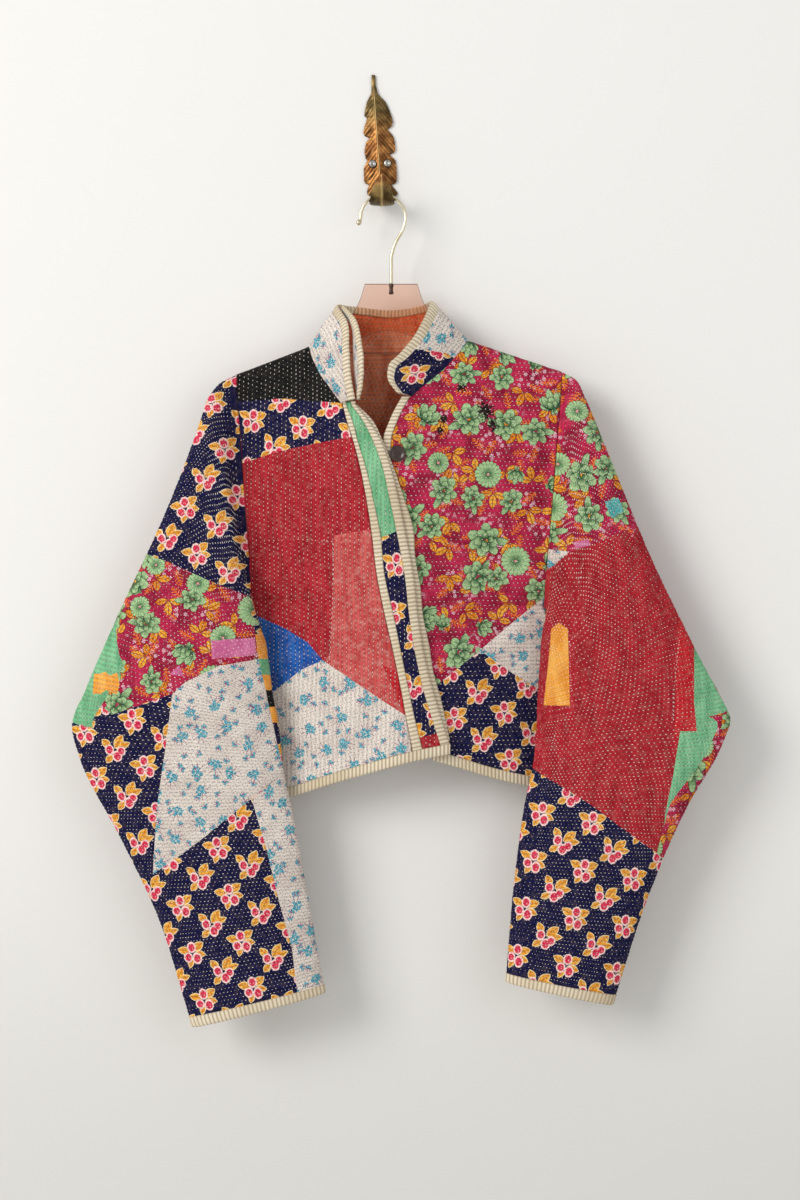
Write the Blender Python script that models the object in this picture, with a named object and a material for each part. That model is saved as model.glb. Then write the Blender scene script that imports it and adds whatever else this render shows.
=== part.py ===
"""Quilted patchwork jacket, hung on a clear hanger from a cast leaf-shaped wall hook.

Metres, +Z up. The wall is the plane y = 0 and the jacket hangs in front of it, at y < 0, its front to -Y.
The origin is the middle of the wall hook's flat back. Left and right are a viewer's, facing the front.
Tables and sizes are in millimetres until a mesh is made.
"""

import math

import bmesh
import bpy
import numpy as np

MM = 0.001

# Cloth and sewing
WALL = 2.4
SEAM_GAP = 0.3
EDGE_GAP = 0.9
FOOT_GAP = 0.6
BINDING_WIDTH = 11.5
BINDING_HALF = 2.1
QUILT_RISE = 0.8

# How deep the hung jacket is, in front of and behind the hanger's plane
HANG_Y = -40.0
ARM_FRONT = 16.0
ARM_BACK = 14.0
ROUNDING = 130.0
FRONT_BULGE = 28.0
BACK_BULGE = 6.0
BULGE_REACH = 90.0
HEM_TUCK = 6.0
BODY_LENGTH = 520.0
CENTRE_X = 12.0
PLACKET_LIFT = 9.8
FLY_LIFT = 4.9
PLACKET_BLEND = 70.0

# Seams of the body as (x, z)
TIP = {"left": (-168, -269), "right": (208, -266)}
UNDERARM = {"left": (-151, -527), "right": (187, -535)}
SIDE_HEM = {"left": (-192, -768), "right": (244, -754)}
NECK_POINT = {"left": (-84, -237), "right": (99, -230)}
NECK_FRONT = {
    "left": [(-84, -237), (-79, -253), (-71, -269), (-60, -285), (-46, -304)],
    "right": [(99, -230), (91, -241), (78, -256), (63, -271), (46, -285), (34, -296)],
}
NECK_BACK = [(-84, -237), (-45, -241), (9, -243), (60, -239), (99, -230)]
HEM_FRONT = {
    "left": [(-192, -768), (-152, -765), (-106, -756), (-60, -741), (-14, -727), (32, -714), (78, -705)],
    "right": [(57, -712), (90, -722), (124, -733), (169, -744), (208, -751), (244, -754)],
}
HEM_BACK = [(-192, -768), (-106, -751), (-14, -724), (50, -707), (124, -725), (244, -754)]

# Largest soft folds as (x, z) to (x, z), half width, height: positive stands out from the body
FOLD_COLUMNS = ("from_x", "from_z", "to_x", "to_z", "width", "height")
FRONT_FOLDS = [
    (88, -262, 124, -345, 13, 3.0),
    (196, -300, 176, -415, 14, -3.0),
    (150, -470, 170, -640, 22, 2.5),
    (-146, -310, -138, -430, 12, -2.5),
    (-112, -300, -92, -420, 18, 2.0),
    (-118, -560, -62, -700, 24, 3.0),
    (92, -560, 120, -715, 20, 2.5),
]
BACK_FOLDS = [
    (-138, -545, -30, -610, 20, 3.5),
    (176, -552, 66, -620, 20, 3.5),
    (-40, -330, -62, -690, 26, 2.5),
    (70, -340, 96, -680, 26, 2.5),
]
SLEEVE_FOLDS = {
    "left": [
        (-126, -668, -232, -640, 15, 2.5),
        (-122, -700, -262, -730, 17, 3.0),
        (-186, -330, -222, -520, 16, -2.5),
        (-112, -740, -170, -860, 16, 2.5),
    ],
    "right": [
        (184, -668, 292, -632, 15, 2.5),
        (180, -704, 316, -722, 17, 3.0),
        (226, -330, 262, -500, 16, -2.5),
        (172, -745, 222, -860, 16, 2.5),
    ],
}

# Edges down the centre front as (z, x of each edge): the panel's edge, the seam binding's right edge,
# the band's right edge and the placket's own right edge
PLACKET = [
    (-306, -45, -40, -37, -30),
    (-322, -41, -33, -25, -17),
    (-347, -33, -27, -12, -1),
    (-374, -26, -19, -1, 9),
    (-414, -18, -10, 9, 19),
    (-453, -12, -2, 17, 27),
    (-501, -6, 3, 26, 36),
    (-546, 3, 13, 31, 41),
    (-590, 13, 22, 38, 48),
    (-634, 22, 31, 48, 59),
    (-667, 28, 38, 58, 69),
    (-692, 33, 44, 66, 77),
]
FLY_EDGE = [
    (-306, -28), (-322, -12), (-347, 1), (-374, 12), (-415, 26), (-448, 36), (-480, 38), (-515, 44), (-547, 47),
    (-580, 54), (-612, 59), (-644, 68), (-676, 75), (-690, 78),
]
RIGHT_EDGE = [
    (-301, 20), (-314, 13), (-328, 7), (-342, 2), (-356, 1), (-379, 2), (-414, 5), (-453, 7), (-501, 15),
    (-546, 21), (-590, 26), (-634, 38), (-667, 49), (-700, 55),
]

# Collar's top edge as (seam, x, y, z): seam 0 to 1 is the left front neck, 1 to 2 the back, 2 to 3 the right
COLLAR_TOP = [
    (0.00, -31, -88, -300),
    (0.33, -36, -90, -272),
    (0.66, -38, -84, -241),
    (0.88, -41, -68, -208),
    (1.00, -51, -46, -190),
    (1.20, -38, -27, -187),
    (1.50, 10, -19, -191),
    (1.80, 47, -27, -186),
    (2.00, 57, -47, -184),
    (2.16, 50, -66, -203),
    (2.40, 37, -77, -228),
    (2.65, 20, -83, -249),
    (2.82, 8, -85, -263),
    (2.92, 8, -85, -279),
    (3.00, 18, -84, -293),
]
# How far the placket's under layer shows past the collar's left edge, by the same seam values
FLY_COLLAR = [(0.0, 2), (0.33, 10), (0.66, 12), (0.88, 6), (1.0, 3)]
FLY_COLLAR_BACK = 4.8
COLLAR_ROWS = 3

# Sleeves, a row for each ring: outer x and z, inner x and z, middle y, half depth
SLEEVE_COLUMNS = ("outer_x", "outer_z", "inner_x", "inner_z", "middle", "depth")
SLEEVES = {
    "left": [
        (-168, -269, -151, -527, -40, 16),
        (-184, -278, -157, -537, -49, 18),
        (-197, -294, -148, -553, -57, 19),
        (-210, -331, -139, -567, -62, 19),
        (-245, -425, -131, -600, -70, 18),
        (-299, -543, -126, -638, -75, 17),
        (-337, -630, -120, -668, -76, 17),
        (-353, -672, -117, -692, -76, 16),
        (-346, -704, -115, -714, -76, 16),
        (-302, -793, -100, -789, -73, 16),
        (-259, -883, -86, -869, -69, 17),
        (-216, -1019, -66, -980, -66, 17),
    ],
    "right": [
        (208, -266, 187, -535, -40, 16),
        (222, -275, 195, -545, -50, 18),
        (234, -300, 188, -559, -57, 19),
        (254, -349, 185, -572, -62, 19),
        (306, -478, 182, -605, -70, 18),
        (363, -596, 179, -646, -75, 17),
        (388, -643, 178, -674, -76, 17),
        (397, -664, 177, -690, -76, 16),
        (389, -691, 175, -710, -76, 16),
        (348, -765, 164, -766, -74, 16),
        (308, -857, 153, -849, -71, 17),
        (263, -993, 143, -967, -68, 17),
    ],
}
RING_POINTS = 16
SLEEVE_RINGS = 60
SLEEVE_SEAM = 30
SLEEVE_INNER_STEP = 3
ROUND_SHARE = 0.62
BACK_FOLD_SHARE = 0.6

# Rows of the panels' grids
ARMHOLE_ROWS = 10
SIDE_ROWS = 6
FINE_ROWS = 3
ARMHOLE_SHARE = 0.52
SHOULDER_ROW = 0.008

# Columns of each panel's grid: along a shoulder, along the neck
LEFT_COLUMNS = (12, 12)
RIGHT_COLUMNS = (6, 6)
BACK_COLUMNS = (4, 8)

# Hardware
HANGER_HALF = 2.0
WIRE_RADIUS = 2.0
HOOK_LOOP_RADIUS = 26.0
HOOK_TOP_Z = -60.0
WIRE_POINTS = 44
BUTTON_AT = (17.5, -362)
BUTTON_RADIUS = 9.5
BUTTON_THICK = 3.2

# Hanger outline as (x, z); its arms run this far below the shoulder seams
HANGER_DROP = 5.5
HANGER_FLANK = [(41, -163), (47, -182), (56, -199), (69, -215), (83, -231)]
HANGER_FLANK_LEFT = [(-20, -163), (-26, -182), (-35, -199), (-48, -215), (-57, -237), (-70, -244)]
HANGER_ARM_X = {"right": (100, 130, 165, 196), "left": (-88, -120, -156)}
HANGER_END = {"right": [(203, -277), (200, -287)], "left": [(-163, -280), (-160, -289)]}
HANGER_UNDER = [
    (165, -281), (120, -268), (80, -250), (45, -228), (10.5, -217), (-25, -226), (-55, -243), (-85, -258),
    (-125, -276),
]

# Leaf of the wall hook: (z, half width left, half width right), widest at each lobe and drawn in between
LEAF = [
    (87.7, 1.5, 2.9), (75.8, 2.3, 2.7), (66.4, 3.2, 4.3), (61.7, 5.9, 7.9), (56.4, 9.2, 12.9),
    (46.7, 12.2, 16.7), (40, 13.4, 18.7), (37.1, 10.3, 19.4), (32.4, 12, 19.9), (27.1, 14.1, 17.8),
    (24.1, 14.9, 12.9), (19.4, 15.9, 16.7), (15.9, 14.1, 19.3), (13.6, 8.9, 19.9), (8.9, 13.4, 20.6),
    (-0.5, 16, 20.5), (-2.9, 16.1, 19.1), (-5.8, 15.8, 13.2), (-10.5, 15.2, 18.4), (-12.9, 13.5, 19.9),
    (-21.4, 18.2, 20.7), (-35.8, 19.1, 19.9), (-38.7, 18.4, 18.6), (-41.6, 13.3, 13.1), (-47.5, 16.1, 18),
    (-51.6, 16.6, 20.4), (-55.1, 13.1, 16.3), (-59.2, 9.8, 10.1),
]
LEAF_TILT = -0.0685
LEAF_FOOT = (-1.2, -59)
LEAF_EDGE = 2.2
LEAF_RIDGE = 4.0
LEAF_SLIM = 9.0

# Tongue out of the leaf's foot: its middle line as (y, z), half width, half thickness and their shares on the way
TONGUE = [(-3.4, -46), (-13, -60), (-25, -67.3), (HANG_Y, -68.3), (-49.5, -64), (-54.5, -54), (-54.5, -38)]
TONGUE_X = -0.2
TONGUE_WIDE = 15.0
TONGUE_THICK = 2.9
TONGUE_SPREAD = [(0, 0.8), (0.36, 1.0), (0.6, 1.0), (0.8, 0.8), (0.92, 0.5), (1, 0.16)]
TONGUE_TAPER = [(0, 1.0), (0.7, 0.95), (1, 0.4)]
TONGUE_RINGS = 21
TONGUE_SIDES = 10

SCREWS = {"screw_left": (-11.5, -17.3), "screw_right": (5.9, -16.5)}
SCREW_RADIUS = 4.0
SCREW_THICK = 2.2

COLOURS = {
    "quilt_left": (0.52, 0.05, 0.07),
    "quilt_right": (0.38, 0.03, 0.10),
    "navy_print": (0.02, 0.02, 0.09),
    "sprig_print": (0.72, 0.62, 0.56),
    "band": (0.11, 0.42, 0.22),
    "binding": (0.78, 0.74, 0.63),
    "acrylic": (0.75, 0.60, 0.58),
    "gold_wire": (0.72, 0.60, 0.35),
    "brass": (0.35, 0.22, 0.07),
    "horn": (0.05, 0.025, 0.015),
}


def clear_scene():
    """Removes whatever the file opened with."""
    for item in list(bpy.data.objects):
        bpy.data.objects.remove(item, do_unlink=True)


def material(name, rough=0.9, metal=0.0, alpha=1.0):
    """A Principled material with the named colour."""
    made = bpy.data.materials.get(name) or bpy.data.materials.new(name)
    made.use_nodes = True
    shader = made.node_tree.nodes["Principled BSDF"]
    shader.inputs["Base Color"].default_value = (*COLOURS[name], 1.0)
    shader.inputs["Roughness"].default_value = rough
    shader.inputs["Metallic"].default_value = metal
    shader.inputs["Alpha"].default_value = alpha
    return made


def add_object(name, points, faces, finish, smooth=True):
    """A closed mesh object from millimetre points; its normals are turned outwards."""
    mesh = bpy.data.meshes.new(name)
    mesh.from_pydata((np.asarray(points, float) * MM).tolist(), [], faces)
    shape = bmesh.new()
    shape.from_mesh(mesh)
    bmesh.ops.recalc_face_normals(shape, faces=shape.faces)
    if shape.calc_volume(signed=True) < 0:
        bmesh.ops.reverse_faces(shape, faces=shape.faces)
    shape.to_mesh(mesh)
    shape.free()
    if smooth:
        mesh.shade_smooth()
        mesh.set_sharp_from_angle(angle=math.radians(50))
    item = bpy.data.objects.new(name, mesh)
    item.data.materials.append(finish)
    bpy.context.scene.collection.objects.link(item)
    return item


def spline(rows, t, columns=2):
    """Cubic Hermite curve through the rows, slopes from neighbours, at each t from 0 to 1 of its chord."""
    rows = np.asarray(rows, float)
    t = np.asarray(t, float)
    steps = np.linalg.norm(np.diff(rows[:, :columns], axis=0), axis=1)
    knots = np.r_[0.0, np.cumsum(steps)] / steps.sum()
    return hermite(knots, rows, t)


def hermite(knots, rows, t):
    """Cubic Hermite through rows at the given knots, evaluated at t."""
    rows = np.asarray(rows, float)
    slope = np.gradient(rows, knots, axis=0)
    i = np.clip(np.searchsorted(knots, t, side="right") - 1, 0, len(rows) - 2)
    width = (knots[i + 1] - knots[i])[:, None]
    s = (t - knots[i])[:, None] / width
    return (
        (2 * s**3 - 3 * s**2 + 1) * rows[i]
        + (s**3 - 2 * s**2 + s) * width * slope[i]
        + (3 * s**2 - 2 * s**3) * rows[i + 1]
        + (s**3 - s**2) * width * slope[i + 1]
    )


def by_height(rows, z):
    """Reads a table whose first column is z, at each z, smoothly."""
    rows = np.asarray(rows, float)
    return hermite(-rows[:, 0], rows[:, 1:], -np.asarray(z, float))


def by_x(rows, x):
    """Height of a hem table at each x."""
    rows = np.asarray(rows, float)
    return hermite(rows[:, 0], rows[:, 1:], np.asarray(x, float))[:, 0]


def smoothstep(t):
    t = np.clip(t, 0.0, 1.0)
    return t * t * (3 - 2 * t)


def round_end_cosine(angle):
    """Cosine from 1 to -1 over half a turn, part straightened so that its steps stay more even."""
    return ROUND_SHARE * np.cos(angle) + (1 - ROUND_SHARE) * (1 - 2 * angle / math.pi)


def unit(vectors):
    return vectors / np.maximum(np.linalg.norm(vectors, axis=-1, keepdims=True), 1e-9)


# The hung body as a depth over (x, z)

def side_x(side, z):
    """The armhole line, then the side seam, at height z."""
    line = (SIDE_HEM[side], UNDERARM[side], TIP[side])
    return np.interp(z, [point[1] for point in line], [point[0] for point in line])


def roof(x):
    """The two shoulder lines, carried on to where they cross over the neck."""
    lines = []
    for side in ("left", "right"):
        (x0, z0), (x1, z1) = TIP[side], NECK_POINT[side]
        lines.append(z0 + (z1 - z0) * (x - x0) / (x1 - x0))
    return np.minimum(*lines)


def ring_rise(side, below, z):
    """0 at the shoulder line and at the underarm, 1 between them: half an ellipse."""
    share = below / np.maximum(below + z - UNDERARM[side][1], 1)
    return np.sqrt(np.clip(1 - (1 - 2 * share) ** 2, 0, 1)) * (z > UNDERARM[side][1])


def body_depth(x, z, arm, bulge):
    """Distance from the hanger's plane: least along the side seams, full at the chest."""
    below = np.maximum(roof(x) - z, 0)
    rounded = arm * np.sqrt(np.clip(1 - (1 - np.minimum(below / ROUNDING, 1)) ** 2, 0, 1))
    middle = rounded + bulge * (1 - np.exp(-below / BULGE_REACH))
    middle -= HEM_TUCK * (below / BODY_LENGTH) ** 2
    depth = np.zeros_like(x)
    for side, where in (("left", x < CENTRE_X), ("right", x >= CENTRE_X)):
        edge = side_x(side, z)
        share = np.clip((x - edge) / (CENTRE_X - edge), 0, 1)
        inward = np.sin(share * math.pi / 2) ** 2
        lap = WALL / 2 * smoothstep((UNDERARM[side][1] + 25 - z) / 25)
        at_side = lap + arm * ring_rise(side, below, z)
        depth = np.where(where, at_side + (middle - at_side) * inward, depth)
    return SEAM_GAP / 2 + np.maximum(depth, 0)


def fold_height(x, z, folds):
    """Sum of the folds: each a soft ridge round a line, dying out towards its two ends."""
    height = np.zeros_like(x)
    for row in folds:
        fold = dict(zip(FOLD_COLUMNS, row))
        run = np.array([fold["to_x"] - fold["from_x"], fold["to_z"] - fold["from_z"]], float)
        length = np.hypot(*run)
        run /= length
        along = ((x - fold["from_x"]) * run[0] + (z - fold["from_z"]) * run[1]) / length
        off = (x - fold["from_x"]) * run[1] - (z - fold["from_z"]) * run[0]
        fade = smoothstep(along / 0.3) * smoothstep((1 - along) / 0.3)
        height += fold["height"] * fade * np.exp(-((off / fold["width"]) ** 2))
    return height


def front_surface(xz, lift=0.0):
    """Points of the front at each (x, z), moved lift towards the viewer."""
    x, z = xz[..., 0], xz[..., 1]
    depth = body_depth(x, z, ARM_FRONT, FRONT_BULGE) + fold_height(x, z, FRONT_FOLDS)
    return np.stack([x, HANG_Y - depth - lift, z], axis=-1)


def back_surface(xz):
    """Points of the back at each (x, z)."""
    x, z = xz[..., 0], xz[..., 1]
    depth = body_depth(x, z, ARM_BACK, BACK_BULGE) + fold_height(x, z, BACK_FOLDS)
    return np.stack([x, HANG_Y + depth, z], axis=-1)


# Walls and strips


def normals_of(grid, wrap=False):
    """Unit normals of a grid of points, from its neighbours' differences."""
    along = np.gradient(grid, axis=0)
    if wrap:
        across = np.roll(grid, -1, axis=1) - np.roll(grid, 1, axis=1)
    else:
        across = np.gradient(grid, axis=1)
    return unit(np.cross(across, along))


def zip_rims(fine, coarse):
    """Triangles between a fine edge and the coarse edge beside it."""
    step = (len(fine) - 1) // (len(coarse) - 1)
    faces = []
    for j in range(len(coarse) - 1):
        start = j * step
        half = start + (step + 1) // 2
        for i in range(start, start + step):
            faces.append((fine[i], fine[i + 1], coarse[j] if i < half else coarse[j + 1]))
        faces.append((fine[half], coarse[j], coarse[j + 1]))
    return faces


def quads_of(ids):
    """Four-sided faces over a grid of point numbers."""
    corners = (ids[:-1, :-1], ids[:-1, 1:], ids[1:, 1:], ids[1:, :-1])
    return np.stack(corners, axis=-1).reshape(-1, 4)


def add_wall(name, middle, out, finish, lift=None, step=(1, 1), wrap=False, half=WALL / 2):
    """A cloth wall on a grid of middle points.

    Its outer points are moved out by half the wall plus the lift, its inner ones in by half the wall.
    The inner side keeps every step-th row and column. With wrap, the columns close into a tube.
    """
    lift = np.zeros(middle.shape[:2]) if lift is None else lift
    outer = middle + out * (half + lift)[..., None]
    inner = (middle - out * half)[:: step[0], :: step[1]]
    outer_ids = np.arange(outer[..., 0].size).reshape(outer.shape[:2])
    inner_ids = np.arange(inner[..., 0].size).reshape(inner.shape[:2]) + outer_ids.size
    faces = []
    for ids, flip in ((outer_ids, False), (inner_ids, True)):
        if wrap:
            ids = np.hstack([ids, ids[:, :1]])
        quads = quads_of(ids)
        faces += (quads[:, ::-1] if flip else quads).tolist()
    ends = [(outer_ids[0], inner_ids[0]), (outer_ids[-1], inner_ids[-1])]
    if wrap:
        ends = [(np.r_[fine, fine[0]], np.r_[coarse, coarse[0]]) for fine, coarse in ends]
    else:
        ends += [(outer_ids[:, 0], inner_ids[:, 0]), (outer_ids[:, -1], inner_ids[:, -1])]
    for fine, coarse in ends:
        faces += zip_rims([int(i) for i in fine], [int(i) for i in coarse])
    points = np.concatenate([outer.reshape(-1, 3), inner.reshape(-1, 3)])
    return add_object(name, points, faces, finish)


# Section of a folded binding: (share of its width, share of its half thickness)
BINDING_SECTION = [(0.0, 0.75), (0.4, 1.0), (0.85, 0.8), (1.0, 0.0), (0.85, -0.8), (0.4, -1.0), (0.0, -0.75)]


def add_binding(name, inner, edge, out, wrap=False):
    """A binding strip folded over an edge: its section is carried from the inner line to the edge line."""
    lines = [inner + (edge - inner) * across + out * (BINDING_HALF * rise) for across, rise in BINDING_SECTION]
    rings = np.stack(lines, axis=1)
    count, sides = rings.shape[:2]
    ids = np.arange(count * sides).reshape(count, sides)
    if wrap:
        ids = np.vstack([ids, ids[:1]])
    ids = np.hstack([ids, ids[:, :1]])
    faces = quads_of(ids).tolist()
    if not wrap:
        faces += [ids[0, :-1].tolist(), ids[-1, :-1][::-1].tolist()]
    return add_object(name, rings.reshape(-1, 3), faces, material("binding"))


def ruffled(rows, columns, along):
    """Quilting heights: every second row (along 0) or column (along 1) of a grid stands up."""
    count = (rows, columns)[along]
    ridge = QUILT_RISE * (np.arange(count) % 2)
    return np.broadcast_to(ridge[:, None] if along == 0 else ridge[None, :], (rows, columns)).copy()


# Body panels


def armhole_shares(rows):
    """Shares from shoulder tip to underarm, closer together at both ends."""
    return 0.5 - 0.5 * round_end_cosine(np.linspace(0, math.pi, rows + 1))


def row_shares(fine=1):
    """Heights of the grid's rows from shoulder, 0, to hem, 1, each interval split into fine parts."""
    armhole = ARMHOLE_SHARE * armhole_shares(ARMHOLE_ROWS)
    side = np.linspace(ARMHOLE_SHARE, 1, SIDE_ROWS + 1)
    coarse = np.r_[armhole[0], SHOULDER_ROW, armhole[1:], side[1:]]
    places = np.arange((len(coarse) - 1) * fine + 1) / fine
    return np.interp(places, np.arange(len(coarse)), coarse)


def side_line(side, v, hem_z):
    """Side boundary of a panel: the straight armhole chord, then the side seam down to the hem cloth."""
    tip, under = np.array(TIP[side], float), np.array(UNDERARM[side], float)
    hem = np.array([side_x(side, hem_z), hem_z])
    upper = tip + (under - tip) * np.clip(v / ARMHOLE_SHARE, 0, 1)[:, None]
    lower = under + (hem - under) * np.clip((v - ARMHOLE_SHARE) / (1 - ARMHOLE_SHARE), 0, 1)[:, None]
    return np.where((v < ARMHOLE_SHARE)[:, None], upper, lower)


def coons(top, bottom, start, end, u, v):
    """Grid of (x, z) between four boundary lines: top and bottom along u, start and end along v."""
    u, v = u[None, :, None], v[:, None, None]
    corners = (
        (1 - u) * (1 - v) * top[0] + u * (1 - v) * top[-1] + (1 - u) * v * bottom[0] + u * v * bottom[-1]
    )
    return (1 - v) * top[None] + v * bottom[None] + (1 - u) * start[:, None] + u * end[:, None] - corners


def neck_direction(points):
    """Thickness direction of the panels' neck edge and the collar's base: out, and up at the shoulders."""
    outward = points - np.array([CENTRE_X - 4, HANG_Y - 8, 0])
    outward[:, 2] = 0
    outward = unit(outward)
    near = np.exp(-(((points[:, 1] - HANG_Y) / 12) ** 2))
    return unit(outward + (0.15 + 0.75 * near)[:, None] * np.array([0, 0, 1.0]))


def panel_directions(points, normals, shoulder, neck, sides):
    """Thickness directions: the normals, turned on shared edges so that neighbours meet face to face."""
    out = normals.copy()
    out[0, shoulder] = (0, 0, 1)
    out[0, neck] = neck_direction(points[0, neck])
    arm_rows = slice(1, None)
    for side, column in sides:
        tip, under = np.array(TIP[side], float), np.array(UNDERARM[side], float)
        chord = unit(under - tip)
        across = np.array([-chord[1], 0, chord[0]])
        edge = out[arm_rows, column]
        flat = edge - (edge @ across)[:, None] * across
        out[arm_rows, column] = unit(flat)
    return out


def hem_cloth(rows, x):
    """Lower edge of the panel's cloth: the hem less its binding."""
    return by_x(rows, x) + BINDING_WIDTH + SEAM_GAP


def hem_corner(side, table):
    """Where a panel's lower edge meets its side seam."""
    x = side_x(side, SIDE_HEM[side][1] + BINDING_WIDTH)
    return x, hem_cloth(table, np.array([x]))[0]


def front_grid(side, shoulder_columns, neck_columns, rows, edge_x_at):
    """(x, z) grid of a front's cloth from the side seam, u = 0, to its centre edge, u = 1."""
    tip, neck = np.array(TIP[side], float), np.array(NECK_POINT[side], float)
    along = np.linspace(0, 1, shoulder_columns + 1)[:, None]
    shoulder = tip + (neck - tip) * along
    top = np.vstack([shoulder, spline(NECK_FRONT[side], np.linspace(0, 1, neck_columns + 1))[1:]])
    u = np.linspace(0, 1, len(top))
    centre_z = np.interp(rows, [0, 1], [top[-1][1], edge_x_at["foot"]])
    centre = np.stack([edge_x_at["line"](centre_z), centre_z], axis=-1)
    centre[0] = top[-1]
    hem_x = np.linspace(SIDE_HEM[side][0], centre[-1][0], len(top))
    hem = np.stack([hem_x, hem_cloth(HEM_FRONT[side], hem_x)], axis=-1)
    hem[0] = hem_corner(side, HEM_FRONT[side])
    centre[-1] = hem[-1]
    return coons(top, hem, side_line(side, rows, hem[0, 1]), centre, u, rows)


def placket_blend(xz):
    """How far the left front is lifted over the under layers: all of it at the placket's edge."""
    edge = by_height(PLACKET, np.clip(xz[..., 1], PLACKET[-1][0], PLACKET[0][0]).ravel())[:, 0]
    edge = edge.reshape(xz.shape[:-1])
    return PLACKET_LIFT * smoothstep((xz[..., 0] - edge + PLACKET_BLEND) / PLACKET_BLEND)


def outward_normals(grid, sign):
    """Normals turned so that their y has the wanted sign."""
    normals = normals_of(grid)
    flip = np.where(normals[..., 1:2] * sign < 0, -1.0, 1.0)
    return normals * flip


def add_left_front():
    """Left front: quilting rows run down it."""
    rows = row_shares()
    edge = {"foot": -702.0, "line": lambda z: by_height(PLACKET, np.clip(z, PLACKET[-1][0] - 12, -306))[:, 0]}
    xz = front_grid("left", *LEFT_COLUMNS, rows, edge)
    grid = front_surface(xz, placket_blend(xz))
    out = outward_normals(grid, -1)
    shoulder, neck = slice(0, LEFT_COLUMNS[0]), slice(LEFT_COLUMNS[0], None)
    out = panel_directions(grid, out, shoulder, neck, [("left", 0)])
    lift = ruffled(*grid.shape[:2], along=1)
    lift[0] = 0
    add_wall("front_left", grid, out, material("quilt_left"), lift)
    return grid


def add_right_front():
    """Right front: quilting rows run across it."""
    rows = row_shares(FINE_ROWS)
    edge = {
        "foot": -701.0,
        "line": lambda z: by_height(RIGHT_EDGE, np.clip(z, -712, -301))[:, 0] + BINDING_WIDTH + EDGE_GAP,
    }
    xz = front_grid("right", *RIGHT_COLUMNS, rows, edge)
    grid = front_surface(xz)
    out = outward_normals(grid, -1)
    shoulder, neck = slice(0, RIGHT_COLUMNS[0]), slice(RIGHT_COLUMNS[0], None)
    out = panel_directions(grid, out, shoulder, neck, [("right", 0)])
    lift = ruffled(*grid.shape[:2], along=0)
    add_wall("front_right", grid, out, material("quilt_right"), lift, step=(FINE_ROWS, 1))
    return grid


def add_back():
    """Back panel, from armhole to armhole."""
    rows = row_shares(FINE_ROWS)
    shoulder_columns, neck_columns = BACK_COLUMNS
    along = np.linspace(0, 1, shoulder_columns + 1)[:, None]
    tips = {side: np.array(TIP[side], float) for side in TIP}
    necks = {side: np.array(NECK_POINT[side], float) for side in TIP}
    top = np.vstack(
        [
            tips["left"] + (necks["left"] - tips["left"]) * along,
            spline(NECK_BACK, np.linspace(0, 1, neck_columns + 1))[1:-1],
            necks["right"] + (tips["right"] - necks["right"]) * along,
        ]
    )
    hem_x = np.linspace(SIDE_HEM["left"][0], SIDE_HEM["right"][0], len(top))
    hem = np.stack([hem_x, hem_cloth(HEM_BACK, hem_x)], axis=-1)
    hem[0], hem[-1] = hem_corner("left", HEM_BACK), hem_corner("right", HEM_BACK)
    sides = [side_line("left", rows, hem[0, 1]), side_line("right", rows, hem[-1, 1])]
    grid = back_surface(coons(top, hem, *sides, np.linspace(0, 1, len(top)), rows))
    out = outward_normals(grid, 1)
    columns = np.arange(len(top))
    neck = (columns >= shoulder_columns) & (columns <= shoulder_columns + neck_columns)
    out = panel_directions(grid, out, ~neck, neck, [("left", 0), ("right", -1)])
    lift = ruffled(*grid.shape[:2], along=0)
    add_wall("back", grid, out, material("quilt_left"), lift, step=(FINE_ROWS, 1))
    return grid, neck


# Sleeves


def sleeve_rings(side, shares, points=RING_POINTS):
    """Rings of a sleeve at shares of its length, 0 at the armhole and 1 at the cuff's edge."""
    rows = spline(SLEEVES[side], shares, columns=4)
    column = {name: rows[:, i : i + 1] for i, name in enumerate(SLEEVE_COLUMNS)}
    angle = np.linspace(0, 2 * math.pi, points, endpoint=False)
    bend = np.where(angle <= math.pi, angle, 2 * math.pi - angle)
    across = round_end_cosine(bend)
    rise = np.sqrt(np.clip(1 - across**2, 0, 1)) * np.where(angle <= math.pi, -1.0, 1.0)
    x = (column["outer_x"] + column["inner_x"]) / 2 + (column["outer_x"] - column["inner_x"]) / 2 * across
    z = (column["outer_z"] + column["inner_z"]) / 2 + (column["outer_z"] - column["inner_z"]) / 2 * across
    behind = np.interp(shares, [0, 0.12], [ARM_BACK / ARM_FRONT, 1.0])[:, None]
    folds = fold_height(x, z, SLEEVE_FOLDS[side]) * np.abs(rise)
    depth = column["depth"] * rise * np.where(rise > 0, behind, 1.0)
    fold_shift = folds * np.where(rise > 0, BACK_FOLD_SHARE, -1.0)
    return np.stack([x, column["middle"] + depth + fold_shift, z], axis=-1)


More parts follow.
